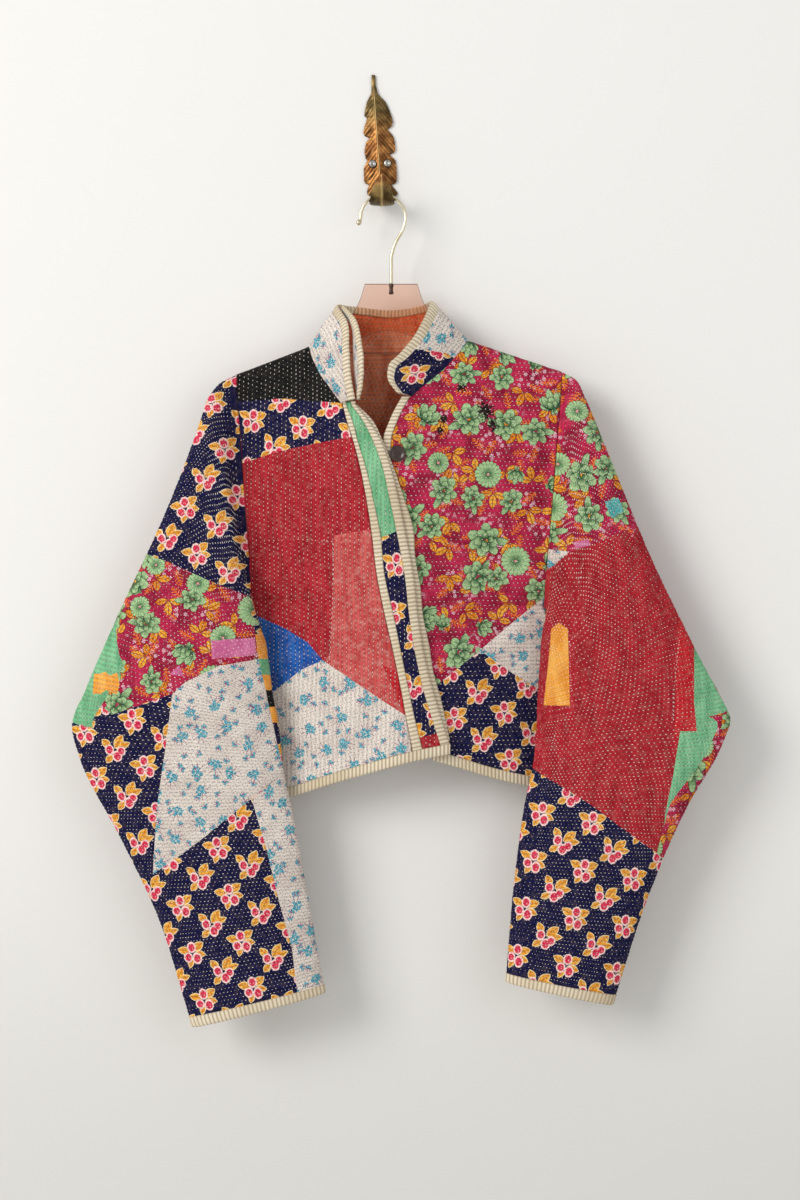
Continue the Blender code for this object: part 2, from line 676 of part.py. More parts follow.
def add_sleeve(side):
    """One sleeve as a flattened tube, seamed above the elbow, and the binding round its cuff."""
    length = np.linalg.norm(np.diff(np.array(SLEEVES[side], float)[:, :2], axis=0), axis=1).sum()
    cuff = 1 - BINDING_WIDTH / (0.8 * length)
    shares = np.linspace(0, cuff, SLEEVE_RINGS + 1)
    grid = sleeve_rings(side, shares)
    tip, under = np.array(TIP[side], float), np.array(UNDERARM[side], float)
    chord = unit(under - tip)
    outward = np.array([chord[1], 0, -chord[0]]) * (1 if side == "left" else -1)
    grid[0] += outward * SEAM_GAP
    out = normals_of(grid, wrap=True)
    centre = grid.mean(axis=1, keepdims=True)
    if ((grid - centre) * out).sum() < 0:
        out = -out
    out[0] = unit(out[0] - (out[0] @ outward)[:, None] * outward)
    lift = ruffled(*grid.shape[:2], along=0)
    finish = material("quilt_right" if side == "right" else "navy_print")
    for part, rings in (("upper", slice(0, SLEEVE_SEAM + 1)), ("lower", slice(SLEEVE_SEAM, None))):
        tube = grid[rings].copy()
        if part == "lower":
            tube[0] += unit(tube[1] - tube[0]) * SEAM_GAP
        step = (SLEEVE_INNER_STEP, 1)
        add_wall(f"sleeve_{side}_{part}", tube, out[rings], finish, lift[rings], step=step, wrap=True)
    gap = cuff + SEAM_GAP * 1.5 / length
    inner, edge = sleeve_rings(side, np.array([gap])), sleeve_rings(side, np.array([1.0]))
    add_binding(f"cuff_{side}_binding", inner[0], edge[0], out[-1], wrap=True)


# Collar


def add_collar(seam):
    """Stand collar from the neck seam, given as the panels' neck points in order, to its bound top edge."""
    parts = np.cumsum([0, LEFT_COLUMNS[1], BACK_COLUMNS[1], RIGHT_COLUMNS[1]])
    place = np.interp(np.arange(len(seam)), parts, [0, 1, 2, 3])
    rows = np.array(COLLAR_TOP, float)
    top = hermite(rows[:, 0], rows[:, 1:], place)
    out = neck_direction(seam)
    rise = top - seam
    height = np.linalg.norm(rise, axis=1, keepdims=True)
    upward = rise / height
    along = upward - (upward * out).sum(axis=1, keepdims=True) * out
    base = seam + unit(along) * SEAM_GAP
    cloth_share = 1 - (BINDING_WIDTH + SEAM_GAP) / np.maximum(height, BINDING_WIDTH + 2)
    v = np.linspace(0, 1, COLLAR_ROWS + 1)[:, None, None]
    grid = base + (top - base) * cloth_share * v
    normal = normals_of(grid)
    facing = np.where((normal * out).sum(axis=-1, keepdims=True) < 0, -1.0, 1.0)
    normal = normal * facing
    directions = normal.copy()
    directions[0] = out
    add_wall("collar", grid, directions, material("sprig_print"))
    inner = base + (top - base) * (cloth_share + SEAM_GAP / height)
    add_binding("collar_binding", inner, top, normal[-1])
    left = place <= 1
    shown = np.interp(place[left], *np.array(FLY_COLLAR).T)[:, None]
    edge = top[left] + upward[left] * shown - normal[-1][left] * FLY_COLLAR_BACK
    add_binding("fly_collar_binding", edge - upward[left] * BINDING_WIDTH, edge, normal[-1][left])


# Placket, under layer and bindings


def strip_line(z, x, lift):
    return front_surface(np.stack([x, z], axis=-1), lift)


def facing_out(points):
    """Direction towards the viewer, square to the strip's run."""
    run = unit(np.gradient(points, axis=0))
    viewer = np.array([0, -1.0, 0])
    return unit(viewer - (run @ viewer)[:, None] * run)


def within(z, table):
    """The panel's row heights that lie inside a table's range, with the table's own two ends."""
    first, last = table[0][0], table[-1][0]
    inside = z[(z < first - 3) & (z > last + 3)]
    return np.r_[first, inside, last]


def to_hem(z, x, lift):
    """A line down the placket, its last point moved on along its run to the hem binding."""
    z, x = z.copy(), x.copy()
    lean = (x[-1] - x[-2]) / (z[-1] - z[-2])
    foot = hem_cloth(HEM_FRONT["left"], x[-1:])[0] + FOOT_GAP
    x[-1] += lean * (foot - z[-1])
    z[-1] = foot
    return strip_line(z, x, lift)


def add_front_strips(left_rows, right_rows):
    """The placket's three strips, the under layer with its binding, and the right front's edge binding."""
    z = within(left_rows, PLACKET)
    panel, seam, band, edge = by_height(PLACKET, z).T
    edges = (panel + SEAM_GAP, seam, seam + SEAM_GAP, band, band + SEAM_GAP, edge)
    lines = [to_hem(z, x, PLACKET_LIFT) for x in edges]
    out = facing_out(lines[2])
    add_binding("placket_seam_binding", lines[1], lines[0], out)
    grid = np.stack([lines[2], (lines[2] + lines[3]) / 2, lines[3]], axis=1)
    add_wall("placket_band", grid, np.repeat(out[:, None], 3, axis=1), material("band"))
    add_binding("front_left_binding", lines[4], lines[5], out)

    z = within(left_rows, FLY_EDGE)
    out = facing_out(strip_line(z, by_height(FLY_EDGE, z)[:, 0], FLY_LIFT))
    fly = by_height(FLY_EDGE, z)[:, 0]
    inner = strip_line(z, fly - BINDING_WIDTH, FLY_LIFT)
    add_binding("fly_binding", inner, strip_line(z, fly, FLY_LIFT), out)
    hidden = np.minimum(by_height(PLACKET, np.clip(z, -692, -306))[:, 1] - 6, fly - BINDING_WIDTH - 8)
    left, right = (strip_line(z, x, FLY_LIFT) for x in (hidden, fly - BINDING_WIDTH - SEAM_GAP))
    grid = np.stack([left, right], axis=1)
    add_wall("fly_band", grid, np.repeat(out[:, None], 2, axis=1), material("band"))

    z = within(right_rows[::FINE_ROWS], RIGHT_EDGE)
    x = by_height(RIGHT_EDGE, z)[:, 0]
    edge_line, inner = strip_line(z, x, 0), strip_line(z, x + BINDING_WIDTH, 0)
    add_binding("front_right_binding", inner, edge_line, facing_out(inner))


def add_hem_binding(name, cloth_edge, table, surface, more=()):
    """Binding under a panel's lowest row of points, carried on past the panel by the x values in more."""
    x = np.r_[cloth_edge[:, 0], more]
    edge_xz = np.stack([x, by_x(table, x)], axis=-1)
    inner_xz = edge_xz + np.array([0, BINDING_WIDTH])
    inner, edge = surface(inner_xz), surface(edge_xz)
    side = np.sign(inner[:, 1] - HANG_Y)
    near = np.maximum(BINDING_HALF + SEAM_GAP / 2 - np.abs(inner[:, 1] - HANG_Y), 0)
    shift = np.stack([0 * x, side * near, 0 * x], axis=-1)
    out = np.broadcast_to(np.array([0, 1.0, 0]), inner.shape) * side[:, None]
    add_binding(name, inner + shift, edge + shift, out)


def lifted_front(xz):
    """The left front's surface, lifted towards its placket."""
    return front_surface(xz, placket_blend(xz))


# Hanger, wire, wall hook and button


def add_hanger():
    """Clear flat hanger cut from sheet: a square neck, hollow flanks and two arms under the shoulders."""
    arms = {}
    for side, places in HANGER_ARM_X.items():
        heights = roof(np.array(places, float)) - HANGER_DROP
        arms[side] = list(zip(places, heights.tolist()))
    right = HANGER_FLANK + arms["right"] + HANGER_END["right"]
    left = HANGER_FLANK_LEFT + arms["left"] + HANGER_END["left"]
    outline = right + HANGER_UNDER + left[::-1]
    count = len(outline)
    points = [(x, HANG_Y + side * HANGER_HALF, z) for side in (-1, 1) for x, z in outline]
    faces = [list(range(count)), list(range(count, 2 * count))[::-1]]
    faces += [[i, (i + 1) % count, count + (i + 1) % count, count + i] for i in range(count)]
    add_object("hanger_plate", points, faces, material("acrylic", rough=0.08, alpha=0.45), smooth=False)


def add_wire():
    """Swivel hook of round wire: a stem, a bend to the side and a loop that hangs over the wall hook."""
    stem = [(10.5, HANGER_FLANK[0][1] + 0.4), (10.5, -145), (11, -130), (16, -114), (23, -102), (26.5, -92)]
    centre_z = HOOK_TOP_Z - HOOK_LOOP_RADIUS
    angles = np.radians(np.arange(0, 181, 15))
    loop_x = TONGUE_X + HOOK_LOOP_RADIUS * np.cos(angles)
    loop = np.column_stack([loop_x, centre_z + HOOK_LOOP_RADIUS * np.sin(angles)])
    end = [(-26.5, centre_z - 5), (-29, centre_z - 8)]
    smooth_route = spline(np.vstack([stem, loop, end]), np.linspace(0, 1, WIRE_POINTS))
    curve = bpy.data.curves.new("hanger_wire", "CURVE")
    curve.dimensions = "3D"
    curve.bevel_depth = WIRE_RADIUS * MM
    curve.bevel_resolution = 2
    curve.use_fill_caps = True
    path = curve.splines.new("POLY")
    path.points.add(len(smooth_route) - 1)
    for point, (x, z) in zip(path.points, smooth_route):
        point.co = (x * MM, HANG_Y * MM, z * MM, 1)
        point.radius = 1.0
    for point, radius in zip(list(path.points)[-3:], (1.3, 1.6, 1.1)):
        point.radius = radius
    item = bpy.data.objects.new("hanger_wire", curve)
    curve.materials.append(material("gold_wire", rough=0.25, metal=1.0))
    bpy.context.scene.collection.objects.link(item)


def leaf_middle(z):
    """The leaf leans: x of its midrib at height z."""
    return LEAF_FOOT[0] + LEAF_TILT * (z - LEAF_FOOT[1])


def leaf_height(x, z):
    """How far the leaf's crowned front stands off the wall at (x, z)."""
    table = np.array(LEAF, float)
    side = 1 if x < leaf_middle(z) else 2
    width = np.interp(z, table[::-1, 0], table[::-1, side])
    share = 1 - abs(x - leaf_middle(z)) / width
    return LEAF_EDGE + LEAF_RIDGE * share * min(width / LEAF_SLIM, 1)


def add_leaf(finish):
    """Cast leaf with a flat back and a front that rises to its midrib."""
    table = np.array(LEAF, float)
    front, back = [], []
    for column in (-1.0, -0.5, 0.0, 0.5, 1.0):
        width = table[:, 1] if column < 0 else table[:, 2]
        x = leaf_middle(table[:, 0]) + column * width
        rise = LEAF_EDGE + LEAF_RIDGE * (1 - abs(column)) * np.minimum(width / LEAF_SLIM, 1)
        front.append(np.stack([x, -rise, table[:, 0]], axis=-1))
        back.append(np.stack([x, np.zeros(len(x)), table[:, 0]], axis=-1))
    front, back = np.stack(front, axis=1), np.stack(back, axis=1)
    count = front.shape[0] * front.shape[1]
    ids = np.arange(count).reshape(front.shape[:2])
    faces = []
    for layer, flip in ((ids, False), (ids + count, True)):
        quads = quads_of(layer)
        faces += (quads[:, ::-1] if flip else quads).tolist()
    for line in (ids[0], ids[-1], ids[:, 0], ids[:, -1]):
        faces += [[int(a), int(b), int(b) + count, int(a) + count] for a, b in zip(line[:-1], line[1:])]
    return add_object("leaf_hook", np.concatenate([front.reshape(-1, 3), back.reshape(-1, 3)]), faces, finish)


def add_tongue(finish):
    """Flattened round bar that comes forward out of the leaf's foot and curls up at its end."""
    shares = np.linspace(0, 1, TONGUE_RINGS)
    path = spline(TONGUE, shares)
    run = unit(np.gradient(path, axis=0))
    across = np.stack([run[:, 1], -run[:, 0]], axis=-1)
    taper = np.interp(shares, *np.array(TONGUE_TAPER).T)
    spread = np.interp(shares, *np.array(TONGUE_SPREAD).T)
    columns = []
    for angle in np.linspace(0, 2 * math.pi, TONGUE_SIDES, endpoint=False):
        x = TONGUE_X + TONGUE_WIDE * spread * math.cos(angle)
        yz = path + across * (TONGUE_THICK * taper * math.sin(angle))[:, None]
        columns.append(np.column_stack([x, yz]))
    tongue = np.stack(columns, axis=1)
    rings = np.arange(TONGUE_RINGS * TONGUE_SIDES).reshape(TONGUE_RINGS, TONGUE_SIDES)
    rings = np.hstack([rings, rings[:, :1]])
    faces = quads_of(rings).tolist()
    faces += [rings[0, :-1].tolist(), rings[-1, :-1][::-1].tolist()]
    return add_object("leaf_tongue", tongue.reshape(-1, 3), faces, finish)


def add_leaf_hook():
    """Leaf and tongue, cast in one."""
    finish = material("brass", rough=0.4, metal=1.0)
    leaf = add_leaf(finish)
    tongue = add_tongue(finish)
    tongue.hide_render = True
    tongue.display_type = "WIRE"
    join = leaf.modifiers.new("join_tongue", "BOOLEAN")
    join.operation = "UNION"
    join.object = tongue


def add_disc(name, centre, radius, thick, crown, finish, segments=20):
    """Turned disc facing the viewer: a flat back, a round edge and a slightly domed or dished front."""
    profile = [(0.82, 0.0), (1.0, 0.3), (1.0, 0.65), (0.86, 1.0), (0.45, 1.0 + crown)]
    x0, y0, z0 = centre
    angles = np.linspace(0, 2 * math.pi, segments, endpoint=False)
    rings = [
        [(x0 + radius * r * math.cos(a), y0 - thick * h, z0 + radius * r * math.sin(a)) for a in angles]
        for r, h in profile
    ]
    points = [point for ring in rings for point in ring]
    ids = np.arange(len(points)).reshape(len(profile), segments)
    ids = np.hstack([ids, ids[:, :1]])
    faces = quads_of(ids).tolist()
    faces += [ids[0, :-1].tolist(), ids[-1, :-1][::-1].tolist()]
    add_object(name, points, faces, finish)


def add_small_parts():
    """Button on the right front, and the wall hook's two screws."""
    x, z = BUTTON_AT
    cloth = front_surface(np.array([[x, z]], float))[0, 1]
    seat = float(cloth) - WALL / 2 - QUILT_RISE - SEAM_GAP - 0.5
    add_disc("button", (x, seat, z), BUTTON_RADIUS, BUTTON_THICK, -0.25, material("horn", rough=0.25))
    for name, (x, z) in SCREWS.items():
        inner_x = x + math.copysign(0.8 * SCREW_RADIUS, leaf_middle(z) - x)
        seat = -leaf_height(inner_x, z) - SEAM_GAP
        finish = material("brass", rough=0.4, metal=1.0)
        add_disc(name, (x, seat, z), SCREW_RADIUS, SCREW_THICK, 0.35, finish, segments=14)


clear_scene()
left_grid = add_left_front()
right_grid = add_right_front()
back_grid, back_neck = add_back()
neck_left = left_grid[0, LEFT_COLUMNS[0]:]
neck_right = right_grid[0, RIGHT_COLUMNS[0]:]
add_collar(np.vstack([neck_left[::-1], back_grid[0, back_neck][1:], neck_right[1:]]))
add_sleeve("left")
add_sleeve("right")
add_front_strips(left_grid[:, -1, 2], right_grid[:, -1, 2])
add_hem_binding("hem_left_binding", left_grid[-1], HEM_FRONT["left"], lifted_front, (45, 56, 67, 78))
add_hem_binding("hem_right_binding", right_grid[-1], HEM_FRONT["right"], front_surface, (57,))
add_hem_binding("hem_back_binding", back_grid[-1], HEM_BACK, back_surface)
add_hanger()
add_wire()
add_leaf_hook()
add_small_parts()
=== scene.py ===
"""Quilted patchwork jacket on a clear hanger, hung from a cast leaf wall hook.

Lengths in the tables are millimetres; left and right are a viewer's, facing the jacket's front (-Y).
"""

import math

import bpy
import numpy as np
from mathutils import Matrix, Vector
from mathutils.geometry import delaunay_2d_cdt


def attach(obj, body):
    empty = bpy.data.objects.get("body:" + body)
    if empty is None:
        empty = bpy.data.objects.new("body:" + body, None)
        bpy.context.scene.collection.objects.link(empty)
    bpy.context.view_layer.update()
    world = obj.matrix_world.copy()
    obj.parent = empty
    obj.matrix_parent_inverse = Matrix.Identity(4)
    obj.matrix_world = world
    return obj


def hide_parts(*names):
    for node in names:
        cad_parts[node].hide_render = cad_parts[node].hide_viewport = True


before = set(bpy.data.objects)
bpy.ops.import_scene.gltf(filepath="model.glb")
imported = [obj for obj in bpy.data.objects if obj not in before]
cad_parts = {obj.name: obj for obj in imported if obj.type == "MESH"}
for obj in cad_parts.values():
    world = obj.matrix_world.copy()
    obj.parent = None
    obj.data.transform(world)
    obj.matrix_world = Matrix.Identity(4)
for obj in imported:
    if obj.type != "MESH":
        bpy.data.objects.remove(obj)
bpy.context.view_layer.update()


# Cottons
# Scraps of worn printed and plain cotton, cut to shape and hand-stitched together in many close rows.
# Each print is a node group that draws its motifs from the cloth's own coordinates, in millimetres.

def dyed(red, green, blue):
    """Linear colour of a dye given as 0-255 screen values."""
    share = np.array([red, green, blue]) / 255
    linear = np.where(share <= 0.04045, share / 12.92, ((share + 0.055) / 1.055) ** 2.4)
    return (*linear.tolist(), 1.0)


def worked(operation, swapped=False):
    """A method that lays one Math node on a wire and the values after it."""
    def method(self, *others):
        values = (self, *others)
        return self.draft.math(operation, *(values[::-1] if swapped else values))
    return method


class Wire:
    """A value that changes over the surface; sums on it lay the Math nodes that work it out."""

    def __init__(self, draft, socket):
        self.draft, self.socket = draft, socket

    __add__, __mul__, __pow__ = worked("ADD"), worked("MULTIPLY"), worked("POWER")
    __sub__, __rsub__ = worked("SUBTRACT"), worked("SUBTRACT", True)
    __truediv__, __rtruediv__ = worked("DIVIDE"), worked("DIVIDE", True)
    __abs__, sign, sqrt = worked("ABSOLUTE"), worked("SIGN"), worked("SQRT")
    sin, cos, angle_to = worked("SINE"), worked("COSINE"), worked("ARCTAN2")


class Ends:
    """Sockets of a node, read as wires by name or number."""

    def __init__(self, draft, sockets):
        self.draft, self.sockets = draft, sockets

    def __getitem__(self, key):
        return Wire(self.draft, self.sockets[key])


class Draft:
    """Lays out one node tree. A value is a wire or a number, and None leaves an input alone."""

    def __init__(self, tree):
        self.tree = tree

    def join(self, value, socket):
        if isinstance(value, Wire):
            self.tree.links.new(value.socket, socket)
        elif value is not None:
            socket.default_value = value

    def join_all(self, sockets, values):
        """Joins values to sockets by name, an underscore standing for a space."""
        for key, value in values.items():
            self.join(value, sockets[key.replace("_", " ")])

    def add(self, kind, *values, **named):
        """Adds a node: small-letter names are its settings, and capital ones its inputs."""
        node = self.tree.nodes.new(kind)
        for key in filter(str.islower, named):
            setattr(node, key, named[key])
        for socket, value in zip(node.inputs, values):
            self.join(value, socket)
        self.join_all(node.inputs, {key: value for key, value in named.items() if not key.islower()})
        return Ends(self, node.outputs)

    def math(self, operation, *values):
        return self.add("ShaderNodeMath", *values, operation=operation)[0]

    def vector(self, operation, *values, **named):
        return self.add("ShaderNodeVectorMath", *values, operation=operation, **named)[0]

    def scaled(self, vector, factor):
        """A vector or colour multiplied by a number."""
        return self.vector("SCALE", vector, Scale=factor)

    def parts(self, vector):
        return self.add("ShaderNodeSeparateXYZ", vector)

    def place(self):
        """Object coordinates, in metres."""
        return self.add("ShaderNodeTexCoord")["Object"]

    def map(self, name):
        """A UV map's coordinates."""
        return self.add("ShaderNodeUVMap", uv_map=name)[0]

    def most(self, values):
        """Largest of several values."""
        result = values[0]
        for value in values[1:]:
            result = self.math("MAXIMUM", result, value)
        return result

    def step(self, value, low, high):
        """0 below low, 1 above high, smooth between; low may be the larger."""
        if low > high:
            return 1.0 - self.step(value, high, low)
        return self.add("ShaderNodeMapRange", value, low, high, interpolation_type="SMOOTHSTEP")[0]

    def mix(self, share, first, second):
        return self.add("ShaderNodeMix", share, *[None] * 5, first, second, data_type="RGBA")[2]

    def noise(self, place, scale, detail=2.0):
        return self.add("ShaderNodeTexNoise", place, Scale=scale, Detail=detail)[0]

    def bump(self, height, strength):
        return self.add("ShaderNodeBump", Strength=strength, Distance=0.001, Height=height)[0]

    def use(self, group, **values):
        return self.add("ShaderNodeGroup", node_tree=group, **values)

    def paint(self, **values):
        """Sets or joins the inputs of the material's shader."""
        self.join_all(self.tree.nodes["Principled BSDF"].inputs, values)

    def give(self, **results):
        """Sends a group's results out and hands back the group."""
        self.join_all(self.tree.nodes.new("NodeGroupOutput").inputs, results)
        return self.tree


SOCKETS = {"": "NodeSocketFloat", "V": "NodeSocketVector", "C": "NodeSocketColor"}


def new_group(name, inputs, outputs):
    """A shader node group. Its sockets are named in words: numbers, vectors (:V) and colours (:C)."""
    tree = bpy.data.node_groups.new(name, "ShaderNodeTree")
    for words, way in ((inputs, "INPUT"), (outputs, "OUTPUT")):
        for word in words.split():
            label, _, kind = word.partition(":")
            tree.interface.new_socket(label.replace("_", " "), in_out=way, socket_type=SOCKETS[kind])
    draft = Draft(tree)
    return draft, Ends(draft, tree.nodes.new("NodeGroupInput").outputs)


def new_finish(name):
    """A material, and the draft of its nodes."""
    made = bpy.data.materials.new(name)
    made.use_nodes = True
    return made, Draft(made.node_tree)


def leaf_mark():
    """Leaf on a stem point: half width Width (4t(1 - t))^(1 - Blunt) at share t of its Length.

    Inside is the depth past its edge, Rib the distance from its midrib, and Along the share t.
    """
    draft, start = new_group("leaf mark", "X Y Base_X Base_Y Turn Length Width Blunt", "Inside Rib Along")
    right, up = start["X"] - start["Base X"], start["Y"] - start["Base Y"]
    cosine, sine = start["Turn"].cos(), start["Turn"].sin()
    along = (right * cosine + up * sine) / start["Length"]
    off = abs(up * cosine - right * sine)
    arch = along * (1.0 - along) * 4.0
    width = abs(arch) ** (1.0 - start["Blunt"]) * arch.sign() * start["Width"]
    return draft.give(Inside=width - off, Rib=off, Along=along)


def spot_mark():
    """Spot: Inside is its Radius less the distance from its centre; Tall is its height to its width."""
    draft, start = new_group("spot mark", "X Y Centre_X Centre_Y Radius Tall", "Inside")
    right, up = start["X"] - start["Centre X"], (start["Y"] - start["Centre Y"]) / start["Tall"]
    return draft.give(Inside=start["Radius"] - (right ** 2.0 + up ** 2.0).sqrt())


def scattered():
    """Jittered lattice: X and Y in a cell turned at random, distance, angle, and two random numbers."""
    draft, start = new_group("scattered", "Place:V Pitch Jitter", "X Y Far Angle One Two")
    cells = draft.scaled(start["Place"], 1.0 / start["Pitch"])
    found = draft.add("ShaderNodeTexVoronoi", cells, voronoi_dimensions="2D", Scale=1.0,
                      Randomness=start["Jitter"])
    local = draft.scaled(draft.vector("SUBTRACT", cells, found["Position"]), start["Pitch"])
    chance = draft.add("ShaderNodeSeparateColor", found["Color"])
    turn = chance[2] * (2 * math.pi)
    parts = draft.parts(draft.add("ShaderNodeVectorRotate", local, rotation_type="Z_AXIS", Angle=turn)[0])
    x, y = parts[0], parts[1]
    far = (x ** 2.0 + y ** 2.0).sqrt()
    return draft.give(X=x, Y=y, Far=far, Angle=y.angle_to(x), One=chance[0], Two=chance[1])


LEAF_MARK, SPOT_MARK, SCATTERED = leaf_mark(), spot_mark(), scattered()


def leaf_at(draft, place, row, blunt=0.0):
    """A leaf (base x, base y, turn in degrees, length, half width) drawn at a local x and y."""
    x, y, turn, length, width = row
    return draft.use(LEAF_MARK, X=place[0], Y=place[1], Base_X=x, Base_Y=y, Turn=math.radians(turn),
                     Length=length, Width=width, Blunt=blunt)


def spot_at(draft, place, x, y, radius, tall=1.0):
    """Depth inside a spot centred on (x, y), at a local x and y."""
    return draft.use(SPOT_MARK, X=place[0], Y=place[1], Centre_X=x, Centre_Y=y, Radius=radius, Tall=tall)[0]


# Berry print: two sprays in half drop, each leaves as leaf_at reads them and berries as spot_at does
HALF_REPEAT = (29.0, 27.5)
SPRAYS = [
    {
        "drop": (0.0, 0.0),
        "leaves": [(-4, 4, 122, 13, 3.8), (1, 2, 46, 17, 4.6), (3, 1, 10, 16, 3.4), (-4, -5, 218, 11, 3.4)],
        "berries": [(-5.6, 1.8, 3.5, 1.2), (1.4, -7.6, 3.8, 1.2), (7.0, -3.0, 3.4, 1.1)],
    },
    {
        "drop": HALF_REPEAT,
        "leaves": [(1, 4, 24, 15, 4.4), (-2, 3, 158, 15, 4.0), (2, 0, -18, 13, 3.4), (-2, -4, 246, 12, 3.0)],
        "berries": [(0.4, 7.4, 3.5, 1.25), (-6.0, -3.0, 3.6, 1.1), (4.0, -6.2, 3.7, 1.25)],
    },
]


def berry_print():
    """Navy cotton with sprays of berries, each ringed in pale pink, and pointed golden leaves."""
    draft, start = new_group("berry print", "Place:V", "Colour:C")
    place, parts = start["Place"], draft.parts(start["Place"])
    leaves, ribs, berries, shine = [], [], [], []
    for spray in SPRAYS:
        local = [draft.math("WRAP", parts[axis] + spray["drop"][axis], half, -half)
                 for axis, half in enumerate(HALF_REPEAT)]
        for row in spray["leaves"]:
            mark = leaf_at(draft, local, row)
            leaves.append(mark["Inside"])
            ribs.append(draft.step(mark["Inside"], 0.2, 0.8) * draft.step(mark["Rib"], 0.9, 0.3))
        for x, y, radius, tall in spray["berries"]:
            berries.append(spot_at(draft, local, x, y, radius, tall))
            shine.append(spot_at(draft, local, x + 1.1, y - 1.3, 1.4))
    leaf, berry, wash = draft.most(leaves), draft.most(berries), draft.noise(place, 0.35)
    colour = draft.mix(draft.step(wash, 0.35, 0.7), dyed(10, 10, 46), dyed(19, 20, 74))
    colour = draft.mix(draft.step(leaf, -0.9, -0.5), colour, dyed(248, 226, 178))
    gold = draft.mix(draft.step(wash, 0.4, 0.65), dyed(222, 140, 34), dyed(246, 190, 84))
    colour = draft.mix(draft.step(leaf, -0.1, 0.4), colour, gold)
    colour = draft.mix(draft.most(ribs) * 0.6, colour, dyed(176, 96, 24))
    wavy = berry + (draft.noise(place, 0.5, 1.0) * 1.6 - 0.8)
    colour = draft.mix(draft.step(wavy, -1.9, -1.4), colour, dyed(250, 214, 210))
    red = draft.mix(draft.step(wash, 0.4, 0.6), dyed(200, 30, 66), dyed(224, 62, 92))
    colour = draft.mix(draft.step(wavy, -0.5, 0.3), colour, red)
    colour = draft.mix(draft.step(draft.most(shine), 0.0, 1.0), colour, dyed(242, 134, 142))
    return draft.give(Colour=colour)


# Leaves and petals of the garden print, hindmost first, each as leaf_at reads it
TWIG = (-10, 0, 0, 20, 4.6)
FAN = [(1, 0, 0, 17, 4.3), (0, 1, 70, 15, 4.0), (0, -1, -82, 14, 3.8)]
CABBAGE = [
    (-2, -3, 215, 18, 6.5), (-3, 2, 150, 15, 5.5), (0, 3, 100, 14, 5.5), (3, 4, 48, 21, 4.4),
    (5, 0, 5, 15, 5.0), (3, -4, 305, 15, 5.8), (-1, -5, 262, 16, 5.5), (-2, 0, 190, 11, 5.2),
    (0, 2, 120, 10, 4.8), (3, 1, 40, 10, 4.6), (2, -3, 330, 11, 4.8), (-1, -3, 250, 10, 4.8),
    (-1, 0, 160, 6.5, 3.4), (1, 1, 60, 6.5, 3.2), (1, -1, 300, 6.5, 3.2),
]
LOTUS = [
    (0, -8, 24, 16, 3.8), (0, -8, 156, 16, 3.8), (0, -9, 52, 21, 4.6), (0, -9, 128, 21, 4.6),
    (0, -9, 90, 24, 4.8), (-3, -8, 110, 18, 4.2), (3, -8, 70, 18, 4.2), (0, -9, 90, 15, 4.2),
    (0, -9, 62, 10, 3.0), (0, -9, 118, 10, 3.0), (0, -8, 250, 8, 2.2), (0, -8, 292, 8, 2.2),
]


